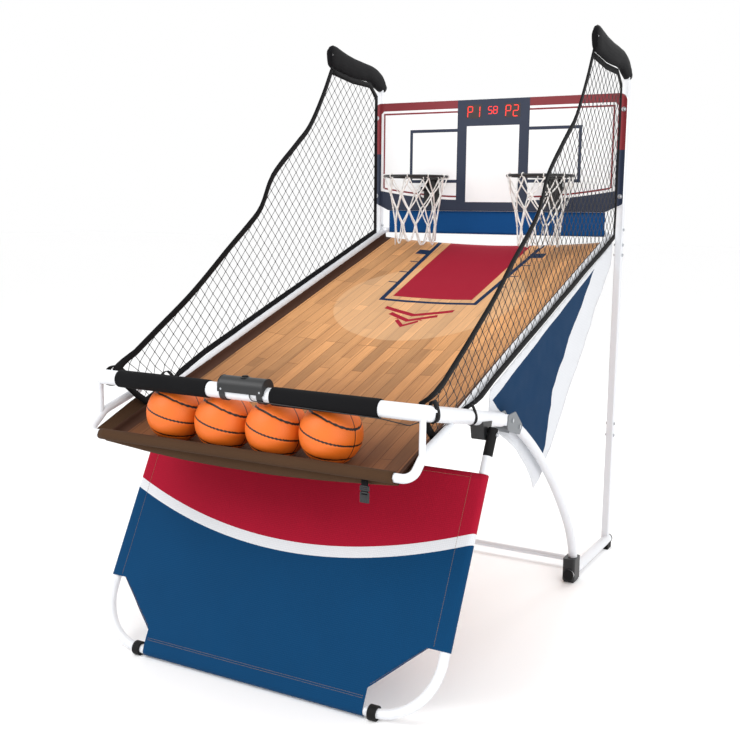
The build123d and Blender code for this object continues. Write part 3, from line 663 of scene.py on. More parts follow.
def stitch_tree(name):
    """Lays short thread capsules end to end along the edges of a wire mesh."""
    tree = bpy.data.node_groups.new(name, "GeometryNodeTree")
    tree.interface.new_socket("Geometry", in_out="INPUT", socket_type="NodeSocketGeometry")
    for label, default in (("Pitch", 0.006), ("Length", 0.0042), ("Thread radius", 0.0006)):
        socket = tree.interface.new_socket(label, in_out="INPUT", socket_type="NodeSocketFloat")
        socket.default_value = default
    tree.interface.new_socket("Finish", in_out="INPUT", socket_type="NodeSocketMaterial")
    tree.interface.new_socket("Geometry", in_out="OUTPUT", socket_type="NodeSocketGeometry")
    given = add(tree, "NodeGroupInput").outputs
    curve = add(tree, "GeometryNodeMeshToCurve", links={"Mesh": given["Geometry"]})
    spots = add(
        tree,
        "GeometryNodeCurveToPoints",
        links={"Curve": curve.outputs[0], "Length": given["Pitch"]},
        mode="LENGTH",
    )
    capsule = add(
        tree,
        "GeometryNodeMeshCylinder",
        {"Vertices": 5, "Side Segments": 2},
        {"Radius": given["Thread radius"], "Depth": given["Length"]},
    )
    laid = add(
        tree,
        "GeometryNodeInstanceOnPoints",
        links={
            "Points": spots.outputs[0], "Instance": capsule.outputs[0], "Rotation": spots.outputs["Rotation"]
        },
    )
    real = add(tree, "GeometryNodeRealizeInstances", links={0: laid.outputs[0]})
    painted = add(tree, "GeometryNodeSetMaterial", links={0: real.outputs[0], "Material": given["Finish"]})
    add(tree, "NodeGroupOutput", links={0: painted.outputs[0]})
    return tree


TREES = {}


def grown(name, verts, edges, tree_name, inputs, knots=None):
    """Runs a tree on a wire mesh and keeps the result as a plain mesh."""
    mesh = bpy.data.meshes.new(name)
    mesh.from_pydata([tuple(v) for v in verts], edges, [])
    if knots is not None:
        mark = mesh.attributes.new("knot", "FLOAT", "POINT")
        mark.data.foreach_set("value", knots)
    made = link(name, mesh)
    if tree_name not in TREES:
        TREES[tree_name] = {"strands": strand_tree, "stitches": stitch_tree}[tree_name](tree_name)
    tree = TREES[tree_name]
    run = made.modifiers.new("grow", "NODES")
    run.node_group = tree
    sockets = {s.name: s.identifier for s in tree.interface.items_tree if s.in_out == "INPUT"}
    for label, value in inputs.items():
        run[sockets[label]] = value
    return settle(made)


def stitched(name, lines, body, finish_name, pitch, size=0.0006):
    """A row of stitches along each line of points."""
    verts, edges = [], []
    for line in lines:
        start = len(verts)
        verts += line
        edges += [(start + k, start + k + 1) for k in range(len(line) - 1)]
    inputs = {"Pitch": pitch, "Length": pitch * 0.68, "Thread radius": size, "Finish": MATERIALS[finish_name]}
    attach(grown(name, verts, edges, "stitches", inputs), body)


# ------------------------------------------------------------------ shared places, from the frame
BACK, FRONT = "rear_frame", "front_section"
PIVOT = Vector((0, -0.279, 0.747))
# The rails slope evenly from their top at the board to the hem tube at the front of the tray.
HEM_Y, HEM_Z, HEM_R = -0.9252, 0.705, 0.0148
RAIL_TOP_Y, RAIL_TOP_Z, RAIL_LOW_Z = 0.903, 1.266, 0.672
SLOPE = (RAIL_TOP_Z - RAIL_LOW_Z) / (RAIL_TOP_Y - HEM_Y)
TILT = math.atan(SLOPE)
COURT_HALF = 0.4992
COURT_TOP_Y, COURT_END_Y = 0.883, -0.9040
COURT_RUN = (COURT_TOP_Y - COURT_END_Y) / math.cos(TILT)
HEM_RUN = 0.14
FOLD_FROM, FOLD_TO = (0, -0.167, 0), (0, -0.367, 0)
FOOT = Vector((0, -0.872, 0.020))
LEG_UP = Vector((0, 0.384, 0.725)).normalized()
LEG_OUT = Vector((0, -LEG_UP.z, LEG_UP.y))
LEG_X = 0.586
SLEEVE_R = 0.0158


def ramp(y):
    """Height of the playfield's side edges at depth y."""
    return RAIL_TOP_Z + (y - RAIL_TOP_Y) * SLOPE


def cut(work, a, b, inside):
    """Cuts a flat working sheet along the line from a to b, where inside(centre) holds."""
    a, b = Vector((a[0], a[1], 0)), Vector((b[0], b[1], 0))
    along = b - a
    normal = Vector((-along.y, along.x, 0)).normalized()
    faces = [f for f in work.faces if inside(f.calc_center_median())]
    geom = set(faces)
    for f in faces:
        geom.update(f.edges)
        geom.update(f.verts)
    bmesh.ops.bisect_plane(work, geom=list(geom), plane_co=a, plane_no=normal, dist=1e-6)


def sheet_from(name, us, vs, cuts, keep, material_of, place, materials, thickness, offset=0.0):
    """A printed sheet: a flat (u, v) grid, cut along its print lines, trimmed, then put in place."""
    work = bmesh.new()
    rows = [[work.verts.new((u, v, 0)) for u in us] for v in vs]
    for low, high in zip(rows, rows[1:]):
        for k in range(len(us) - 1):
            work.faces.new((low[k], low[k + 1], high[k + 1], high[k]))
    for a, b, inside in cuts:
        cut(work, a, b, inside)
    spare = [f for f in work.faces if not keep(f.calc_center_median())]
    bmesh.ops.delete(work, geom=spare, context="FACES")
    bmesh.ops.remove_doubles(work, verts=work.verts, dist=0.0003)
    bmesh.ops.triangulate(work, faces=[f for f in work.faces if len(f.verts) > 4])
    layer = work.loops.layers.uv.new("flat")
    for f in work.faces:
        f.material_index = material_of(f.calc_center_median())
        f.smooth = True
        for corner in f.loops:
            corner[layer].uv = corner.vert.co.xy
    for v in work.verts:
        v.co = place(v.co.x, v.co.y)
    mesh = bpy.data.meshes.new(name)
    work.to_mesh(mesh)
    work.free()
    for material in materials:
        mesh.materials.append(MATERIALS[material])
    made = link(name, mesh)
    return thicken(made, thickness, offset) if thickness else made


def steps(low, high, size):
    """Evenly spaced values from low to high."""
    count = max(1, round((high - low) / size))
    return [low + (high - low) * k / count for k in range(count + 1)]


def inside_outline(outline):
    """A test of whether a point lies inside a closed outline."""

    def test(p):
        hit = False
        for (x0, y0), (x1, y1) in zip(outline, outline[1:] + outline[:1]):
            if (y0 > p.y) != (y1 > p.y) and p.x < (x1 - x0) * (p.y - y0) / (y1 - y0) + x0:
                hit = not hit
        return hit

    return test


# ------------------------------------------------------------------ playfield
def court_point(u, s):
    """A point on the playfield cloth, u across and s down the slope, then up and over the hem tube."""
    cloth = bpy.context.scene.hoop_cloth
    x = max(-COURT_HALF, min(COURT_HALF, u))
    lip = abs(u) - COURT_HALF if abs(u) > COURT_HALF else 0.0
    run = min(s, COURT_RUN)
    y = COURT_TOP_Y - run * math.cos(TILT)
    drop = cloth.sag * (1 - (x / COURT_HALF) ** 2)
    ease = min(1.0, (COURT_HALF - abs(x)) / 0.05)
    drop += crease((x * 0.5, s, 3.0), 7.0, cloth.wrinkle, 2.0) * ease
    drop += crease((x, s * 0.4, 1.0), 16.0, cloth.wrinkle * 0.6, 5.0) * ease * min(1.0, s / 0.4)
    floor = Vector((x, y + drop * math.sin(TILT), ramp(y) - drop * math.cos(TILT)))
    if s <= COURT_RUN:
        return floor + Vector((0, -math.sin(TILT), math.cos(TILT))) * lip
    share = (s - COURT_RUN) / HEM_RUN
    bow = 0.0015 * noise.noise(Vector((x * 14, share * 3, 7)))
    path = [
        floor,
        Vector((x, HEM_Y + HEM_R + 0.0012, floor.z + 0.003)),
        Vector((x, HEM_Y + HEM_R + bow, (floor.z + HEM_Z) / 2)),
    ]
    for turn in range(0, 316, 21):
        a = math.radians(turn)
        path.append(Vector((x, HEM_Y + HEM_R * math.cos(a), HEM_Z + HEM_R * math.sin(a))))
    spot = min(share, 0.999) * (len(path) - 1)
    k = int(spot)
    return path[k].lerp(path[k + 1], spot - k) + Vector((0, 0, lip * 0.02))


def along_court(y):
    """Distance down the slope to depth y."""
    return (COURT_TOP_Y - y) / math.cos(TILT)


def key_half(y, low, high, bottom):
    """Half width of a line of the key that narrows down the slope."""
    return low + (y - bottom) * (high - low) / (RAIL_TOP_Y - bottom)


# The key is a red field inside a navy line, and both narrow down the slope.
RED_END_Y, NAVY_END_Y = 0.313, 0.267
NAVY_BAND = 0.019
# Beyond this half width the cloth is dark brown: painted shade along the side rails.
EDGE_HALF = 0.470
# Each short mark beside the key: its upper and lower edge in y, and its length.
TICKS = ((0.788, 0.739, 0.048), (0.660, 0.652, 0.036), (0.549, 0.541, 0.036), (0.443, 0.435, 0.036))
# Each chevron below the key: the y of its arms' ends and its half width.
CHEVRONS = [(0.222 - k * 0.047, 0.145 - k * 0.048) for k in range(3)]
CHEVRON_DROP, CHEVRON_BAND = 0.052, 0.024
# The tray's side cloths: their rear and front in y, and how much higher the rear stands.
WING_REAR_Y, WING_FRONT_Y, WING_RISE = -0.709, -0.9047, 0.084


def red_half(y):
    """Half width of the key's red field at depth y."""
    return key_half(y, 0.165, 0.184, RED_END_Y)


def navy_half(y):
    """Half width of the key's navy line, to its outer edge, at depth y."""
    return key_half(y, 0.203, 0.245, NAVY_END_Y)


def court_print():
    """Cut lines and the print test of the court markings."""
    red_end, navy_end = along_court(RED_END_Y), along_court(NAVY_END_Y)

    def in_key(c):
        return c.y < along_court(0.20) and abs(c.x) < 0.32

    def beside_key(c):
        return in_key(c) and abs(c.x) > 0.19

    cuts = []
    for side in (-1, 1):
        half = lambda c, side=side: in_key(c) and c.x * side > 0.12
        lines = (
            (red_half(COURT_TOP_Y), red_half(RED_END_Y), red_end),
            (navy_half(COURT_TOP_Y), navy_half(NAVY_END_Y), navy_end),
            (navy_half(COURT_TOP_Y) - NAVY_BAND, navy_half(NAVY_END_Y) - NAVY_BAND, navy_end),
        )
        for high, low, end in lines:
            cuts.append(((side * high, 0.0), (side * low, end), half))
    for end in (red_end, navy_end, navy_end - NAVY_BAND):
        cuts.append(((-1, end), (1, end), in_key))
    for high, low, _ in TICKS:
        for y in (high, low):
            cuts.append(((-1, along_court(y)), (1, along_court(y)), beside_key))
    for side in (-1, 1):
        for high, low, reach in TICKS:
            edge = navy_half((high + low) / 2) + reach

            def near_tick(c, high=high, low=low, side=side):
                beside = c.x * side > 0.2 and abs(c.x) < 0.36
                return beside and along_court(high) - 0.03 < c.y < along_court(low) + 0.03

            cuts.append(((side * edge, 0), (side * edge, 1), near_tick))
    for y, half in CHEVRONS:
        for side in (-1, 1):

            def near_arm(c, y=y, side=side):
                beside = abs(c.x) < 0.2 and c.x * side > -0.001
                return beside and along_court(y + 0.006) - 0.012 < c.y < along_court(y - 0.09)

            for shift in (0.0, CHEVRON_BAND):
                a = (0.0, along_court(y - CHEVRON_DROP) + shift)
                b = (side * half, along_court(y) + shift)
                cuts.append((a, b, near_arm))
    # Cut lines for the band of painted shade along the side rails.
    for side in (-1, 1):
        near_edge = lambda c, side=side: abs(c.x - side * EDGE_HALF) < 0.04
        cuts.append(((side * EDGE_HALF, 0), (side * EDGE_HALF, 1), near_edge))

    def pick(c):
        """Which of the cloth's materials lies here: 0 court, 1 red, 2 navy, 3 dark brown band of painted shade
        along the rails, 4 hem.
        """
        x, y = abs(c.x), COURT_TOP_Y - c.y * math.cos(TILT)
        outer = navy_half(y)
        if c.y > COURT_RUN + 0.004:
            return 4
        # Painted shade along the side rails, in dark brown.
        if x > EDGE_HALF:
            return 3
        if y > RED_END_Y and x < red_half(y):
            return 1
        if y > NAVY_END_Y and outer - NAVY_BAND < x < outer:
            return 2
        if 0 < navy_end - c.y < NAVY_BAND and x < outer:
            return 2
        for high, low, reach in TICKS:
            if low < y < high and outer <= x < navy_half((high + low) / 2) + reach:
                return 2
        for end_y, half in CHEVRONS:
            tip = along_court(end_y - CHEVRON_DROP)
            line = tip + (along_court(end_y) - tip) * x / half
            if x < half and 0 < c.y - line < CHEVRON_BAND:
                return 1
        return 0

    return cuts, pick


class HOOP_OT_playfield(bpy.types.Operator):
    """Sewn playfield: one printed sheet from the board to the ball tray, with its hem and side wings"""

    bl_idname = "hoop.playfield"
    bl_label = "Playfield"

    def execute(self, context):
        cloth = context.scene.hoop_cloth
        cuts, pick = court_print()
        lip = [COURT_HALF + 0.010, COURT_HALF + 0.021]
        us = [-u for u in reversed(lip)] + steps(-COURT_HALF, COURT_HALF, 0.02) + lip
        vs = steps(0, COURT_RUN, 0.024) + steps(COURT_RUN, COURT_RUN + HEM_RUN, 0.006)[1:]
        sheet = sheet_from(
            "playfield_cloth", us, vs, cuts, lambda c: True, pick, court_point,
            ["court", "key_red", "print_navy", "rail_shade_band", "hem"], 0.0018, -1.0,
        )
        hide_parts("playfield_fabric", "playfield_fold_strip", "tray_fabric")
        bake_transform(sheet)
        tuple(FOLD_FROM)
        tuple(FOLD_TO)
        self.wings()
        self.piping()
        self.seams(cloth)
        return {"FINISHED"}

    def wings(self):
        """Slanting side cloths between the playfield and the tray rails."""
        for side, word in ((-1, "left"), (1, "right")):
            shape = Shape()
            rows = []
            for t in steps(0, 1, 0.05):
                y = WING_REAR_Y + t * (WING_FRONT_Y - WING_REAR_Y)
                high = HEM_Z + (y - HEM_Y) / (WING_REAR_Y - HEM_Y) * WING_RISE
                row = []
                for k in range(7):
                    w = k / 6
                    low = Vector((side * (COURT_HALF - 0.001), y, ramp(y) + 0.008))
                    top = Vector((side * 0.5340, y, high + 0.001))
                    p = low.lerp(top, w)
                    p.z -= 0.004 * math.sin(math.pi * w) + crease(p, 22, 0.0012, side)
                    row.append(p)
                rows.append(row)
            shape.grid(rows, 0, lambda i, j: (j * 0.009, i * 0.0103))
            wing = thicken(shape.make(f"tray_wing_{word}", ["hem"]), 0.0018)
            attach(wing, FRONT)

    def piping(self):
        """White cloth tubes sewn round the side rails, running on over the fold as soft piping."""
        for side, word in ((-1, "left"), (1, "right")):
            shape = Shape()
            points = []
            for t in steps(0, 1, 0.014):
                y = 0.880 + t * (-0.700 - 0.880)
                soft = max(0.0, (-0.157 - y) / 0.5)
                points.append(Vector((side * (0.512 - 0.004 * soft), y, ramp(y) + 0.022 - 0.006 * soft)))
            radius = lambda t: 0.0144 - 0.0045 * max(0.0, (t - 0.66) / 0.34) + 0.0004 * math.sin(t * 190)
            shape.tube(points, radius, 14)
            sleeve = shape.make(f"rail_sleeve_{word}", ["white_cloth"])
            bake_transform(sleeve)
            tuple(FOLD_FROM)
            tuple(FOLD_TO)

    def seams(self, cloth):
        """Double stitching along the front hem and single stitching along the sides."""
        hem = []
        for turn in (188, 208):
            a = math.radians(turn)
            r = HEM_R + 0.0006
            hem.append(
                [
                    Vector((x, HEM_Y + r * math.cos(a), HEM_Z + r * math.sin(a)))
                    for x in steps(-0.49, 0.49, 0.02)
                ]
            )
        stitched("hem_stitches", hem, FRONT, "thread_brown", cloth.stitch)
        rear, front = [], []
        for side in (-1, 1):
            for y_high, y_low, lines in ((0.87, -0.17, rear), (-0.375, -0.89, front)):
                lines.append(
                    [
                        court_point(side * EDGE_HALF, along_court(y)) + Vector((0, 0, 0.0007))
                        for y in steps(y_high, y_low, -0.03)
                    ]
                )
        stitched("side_stitches_rear", rear, BACK, "thread_brown", cloth.stitch)
        stitched("side_stitches_front", front, FRONT, "thread_brown", cloth.stitch)


# ------------------------------------------------------------------ banner
def banner_point(u, v):
    """A point on the banner, u across and v up the slope of the legs; it wraps round legs and foot tube."""
    side = 1 if u > 0 else -1
    reach = abs(u)
    rise = max(v, 0.0)
    lean = SLEEVE_R
    x = reach
    if reach > LEG_X:
        turn = (reach - LEG_X) / SLEEVE_R
        x = LEG_X + SLEEVE_R * math.sin(turn)
        lean = SLEEVE_R * math.cos(turn)
    p = FOOT + LEG_UP * rise
    p.x = side * x
    if v < 0:
        turn = -v / SLEEVE_R
        p += LEG_UP * (-SLEEVE_R * math.sin(turn))
        lean = SLEEVE_R * math.cos(turn)
    free = min(
        1.0, max(0.0, (LEG_X - reach) / 0.05)
    ) * min(1.0, max(0.0, v / 0.03)) * min(1.0, max(0.05, (0.70 - v) / 0.04))
    low = math.exp(-max(v, 0.0) / 0.12)
    lean += free * (
        crease((u, v * 0.35, 0), 9.0, 0.005 * low, 1.0) + crease(
            (u * 1.4, v * 0.6, 2), 17.0, 0.0026 * (0.3 + low), 4.0
        )
    )
    lean += free * crease((u * 0.5, v, 5), 4.0, 0.004, 9.0)
    return p + LEG_OUT * lean


def stripe_height(u):
    """Slope distance to the upper edge of the white stripe."""
    x = min(abs(u), 0.602)
    return (0.383 + 0.289 * x * x - FOOT.z) / LEG_UP.z


# The banner's lower corners are cut off from (CORNER_IN, CORNER_LOW) out to (CORNER_OUT, the corner's top).
CORNER_IN, CORNER_OUT, CORNER_LOW = 0.390, 0.541, 0.060
CORNER_TOP = (0.196 - FOOT.z) / LEG_UP.z
BANNER_TOP = (0.638 - FOOT.z) / LEG_UP.z
STITCH_LIFT = LEG_OUT * 0.0008


class HOOP_OT_banner(bpy.types.Operator):
    """Sewn front banner, sleeved round the front legs"""

    bl_idname = "hoop.banner"
    bl_label = "Front banner"

    def execute(self, context):
        cloth = context.scene.hoop_cloth
        wrap = SLEEVE_R * math.pi * 1.36
        edge = LEG_X + wrap
        us = [
            -u for u in reversed(steps(LEG_X, edge, 0.006))
        ] + steps(-LEG_X, LEG_X, 0.02)[1:-1] + steps(LEG_X, edge, 0.006)
        vs = steps(-SLEEVE_R * math.pi * 1.2, 0, 0.006) + steps(0, BANNER_TOP, 0.02)[1:]
        wide = cloth.stripe / LEG_UP.z
        cuts = []
        for side in (-1, 1):
            low_zone = lambda c, side=side: c.x * side > 0.37 and c.y < CORNER_TOP + 0.02
            cuts.append(((side * CORNER_IN, 0), (side * CORNER_IN, 1), low_zone))
            cuts.append(((side * CORNER_IN, CORNER_LOW), (side * CORNER_OUT, CORNER_TOP), low_zone))
            cuts.append(((0, CORNER_TOP), (1, CORNER_TOP), lambda c, side=side: c.x * side > 0.5))
        for a, b in zip(us, us[1:]):
            for drop in (0.0, wide):
                strip = lambda c, a=a, b=b: a < c.x < b and abs(c.y - stripe_height((a + b) / 2)) < 0.08
                cuts.append(((a, stripe_height(a) - drop), (b, stripe_height(b) - drop), strip))

        def keep(c):
            if c.y < CORNER_LOW:
                return abs(c.x) < CORNER_IN
            share = (c.y - CORNER_LOW) / (CORNER_TOP - CORNER_LOW)
            return c.y >= CORNER_TOP or abs(c.x) < CORNER_IN + share * (CORNER_OUT - CORNER_IN)

        def pick(c):
            top = stripe_height(c.x)
            if c.y > top:
                return 0
            return 1 if c.y > top - wide else 2

        sheet = sheet_from(
            "banner_cloth",
            us,
            vs,
            cuts,
            keep,
            pick,
            banner_point,
            ["banner_red", "white_cloth", "banner_blue"],
            0.0010,
            0.0,
        )
        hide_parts("banner_fabric")
        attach(sheet, "front_legs")
        lines = []
        for side in (-1, 1):
            lines.append([(side * 0.556, v) for v in steps(CORNER_TOP + 0.01, BANNER_TOP - 0.01, 0.02)])
            lines.append(
                [(side * (0.397 + t * 0.139), 0.072 + t * (CORNER_TOP - 0.074)) for t in steps(0, 1, 0.1)]
            )
        for v in (0.030, 0.036):
            lines.append([(u, v) for u in steps(-0.38, 0.38, 0.02)])
        lines.append([(u, BANNER_TOP - 0.014) for u in steps(-0.55, 0.55, 0.02)])
        lines = [[banner_point(u, v) + STITCH_LIFT for u, v in line] for line in lines]
        stitched("banner_stitches", lines, "front_legs", "thread_brown", cloth.stitch, 0.0005)
        return {"FINISHED"}


# ------------------------------------------------------------------ side panels and backdrop
PANEL_X = 0.5257
BACKDROP_HALF = 0.486
PANEL = [
    (0.871, 1.2596), (0.871, 1.176), (0.135, 0.486), (0.088, 0.462), (0.058, 0.446), (-0.029, 0.548),
    (-0.120, 0.616), (-0.215, 0.672), (-0.300, 0.712), (-0.363, 0.740), (-0.363, 0.851),
]
PANEL_BLUE = [
    (0.647, 1.167), (0.494, 1.026), (0.350, 0.898), (0.214, 0.768), (0.180, 0.636), (0.124, 0.520), (0.020, 0.596),
    (-0.070, 0.658), (-0.160, 0.709), (-0.243, 0.752), (-0.300, 0.786), (-0.340, 0.816), (-0.013, 0.933),
]


def outline_cuts(outline, reach=0.05):
    """Cut lines along a closed outline, each one only near its own edge."""

    def near(a, b):
        a, b = Vector((a[0], a[1], 0)), Vector((b[0], b[1], 0))
        along = b - a

        def test(c):
            t = max(0.0, min(1.0, (c - a).dot(along) / along.length_squared))
            return (a + along * t - c).length < reach

        return test

    return [(a, b, near(a, b)) for a, b in zip(outline, outline[1:] + outline[:1])]


class HOOP_OT_side_panels(bpy.types.Operator):
    """Printed cloth panels below the side rails, and the cloth behind the playfield's top"""

    bl_idname = "hoop.side_panels"
    bl_label = "Side panels"

    def execute(self, context):
        cloth = context.scene.hoop_cloth
        inside, blue = inside_outline(PANEL), inside_outline(PANEL_BLUE)
        for side, word in ((-1, "left"), (1, "right")):

            def place(y, z, side=side):
                under = ramp(y) + 0.022 - z
                ease = min(1.0, max(0.0, (under - 0.02) / 0.08))
                fold = abs(
                    crease((y * 0.6, z * 1.3, side), 6.0, 0.010, 3.0)
                ) + abs(crease((y, z, side), 19.0, 0.003, 8.0))
                return Vector((side * (PANEL_X - ease * fold), y, z))

            sheet = sheet_from(
                f"side_panel_cloth_{word}", steps(-0.38, 0.88, 0.02), steps(0.44, 1.27, 0.02),
                outline_cuts(PANEL) + outline_cuts(PANEL_BLUE), inside, lambda c: 1 if blue(c) else 0, place,
                ["white_cloth", "panel_blue"], 0.0016, 0.0,
            )
            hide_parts(f"side_panel_{word}")
            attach(sheet, BACK)
            hem = [(y + 0.012 * (1 if y < 0.8 else -1), z) for y, z in PANEL[1:10]]
            lift = Vector((side * 0.001, 0, 0.008))
            line = [place(p.x, p.y) + lift for p in divided([(y, z, 0) for y, z in hem], 10)]
            stitched(f"panel_stitches_{word}", [line], BACK, "thread_white", cloth.stitch)
        self.backdrop()
        return {"FINISHED"}

    def backdrop(self):
        """Bright cloth between the board and the top of the playfield."""
        shape = Shape()
        rows = []
        for z in steps(1.281, 1.391, 0.011):
            row = []
            for x in steps(-BACKDROP_HALF, BACKDROP_HALF, 0.012):
                fold = crease((x, z * 0.5, 4), 14.0, 0.0022, 6.0) - 0.0008 * math.cos((z - 1.336) * 28)
                row.append(
                    Vector((x, 0.8903 + max(-0.0008, fold) * (BACKDROP_HALF - abs(x)) / BACKDROP_HALF, z))
                )
            rows.append(row)
        shape.grid(rows, 0, lambda i, j: (j * 0.012, i * 0.011))
        sheet = thicken(shape.make("backdrop_cloth", ["backdrop"]), 0.0016)
        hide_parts("backdrop_fabric")
        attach(sheet, BACK)


# ------------------------------------------------------------------ side nets
NET_X, ARM_X = 0.538, 0.544
NET_FRONT = [
    (0.488, 1.937), (0.474, 1.948), (0.403, 1.836), (0.304, 1.708), (0.203, 1.630), (0.045, 1.508),
    (-0.031, 1.392), (-0.107, 1.330), (-0.241, 1.240), (-0.435, 1.105), (-0.727, 0.935),
]


def arm_height(y):
    """Height of the bar arm's centre line at depth y."""
    return PIVOT.z + (PIVOT.y - y) * 0.2053


def net_place(side):
    """Puts a point of the flat net in place: outside the rail, and inside the bar arm below its top."""

    def place(y, z):
        x = NET_X
        if y < -0.30:
            above = z - arm_height(y)
            if above < 0.050:
                inward = min(1.0, max(0.0, (0.050 - above) / 0.024))
                x -= 0.0150 * inward * min(1.0, (-0.30 - y) / 0.12)
            if above < 0.0:
                x -= 0.020 * min(1.0, max(0.0, -above / 0.085))
        return Vector((side * (x + crease((y, z, 0), 5.0, 0.002, 2.0)), y, z))

    return place


def net_outline():
    """Closed outline of a side net in (y, z)."""
    bottom = [
        (-0.842, 0.889), (-0.812, 0.838), (-0.760, 0.790), (-0.715, 0.758), (-0.600, ramp(-0.600) + 0.012)
    ]
    bottom += [(-0.480, ramp(-0.480) + 0.014), (-0.363, ramp(-0.363) + 0.022), (0.863, ramp(0.863) + 0.022)]
    front = [(p.x, p.y) for p in smooth_path([(y, z, 0) for y, z in NET_FRONT], 0.03)]
    return front + bottom + [(0.863, 1.868), (0.797, 1.917), (0.643, 1.919)]


def offset_inside(outline, width):
    """The outline moved inwards by a width."""
    turn = sum(a[0] * b[1] - b[0] * a[1] for a, b in zip(outline, outline[1:] + outline[:1]))
    sign = 1 if turn > 0 else -1
    out = []
    for i, p in enumerate(outline):
        p, a, b = (Vector(q) for q in (p, outline[i - 1], outline[(i + 1) % len(outline)]))
        n1 = Vector((-(p - a).y, (p - a).x)).normalized() * sign
        n2 = Vector((-(b - p).y, (b - p).x)).normalized() * sign
        both = (n1 + n2).normalized()
        out.append(p + both * width / max(0.5, both.dot(n1)))
    return out


def lattice(outline, cell, place, noise_depth=0.0):
    """Diamond net inside an outline: vertices, edges and knot marks."""
    inside = inside_outline(outline)
    half = cell / math.sqrt(2)
    low_y, high_y = min(p[0] for p in outline), max(p[0] for p in outline)
    low_z, high_z = min(p[1] for p in outline), max(p[1] for p in outline)
    spots = {}
    for i in range(int((high_y - low_y) / half) + 3):
        for j in range(int((high_z - low_z) / half) + 3):
            if (i + j) % 2 == 0:
                p = Vector((low_y + (i - 1) * half, low_z + (j - 1) * half, 0))
                p += Vector((noise.noise(p * 40), noise.noise(p * 40 + Vector((7, 7, 7))), 0)) * noise_depth
                spots[i, j] = p
    verts, edges, knots, index = [], [], [], {}

    def vertex(key, p, knot):
        if key not in index:
            index[key] = len(verts)
            verts.append(place(p.x, p.y))
            knots.append(knot)
        return index[key]

    for (i, j), p in spots.items():
        for step in ((1, 1), (1, -1)):
            other = (i + step[0], j + step[1])
            if other not in spots:
                continue
            q = spots[other]
            here, there = inside(p), inside(q)
            if here and there:
                edges.append((vertex((i, j), p, 1.0), vertex(other, q, 1.0)))
            elif here or there:
                a, b, key = (p, q, (i, j)) if here else (q, p, other)
                low, high = 0.0, 1.0
                for _ in range(12):
                    mid = (low + high) / 2
                    low, high = (mid, high) if inside(a.lerp(b, mid)) else (low, mid)
                edges.append((vertex(key, a, 1.0), vertex((key, step, here), a.lerp(b, low), 0.0)))
    return verts, edges, knots


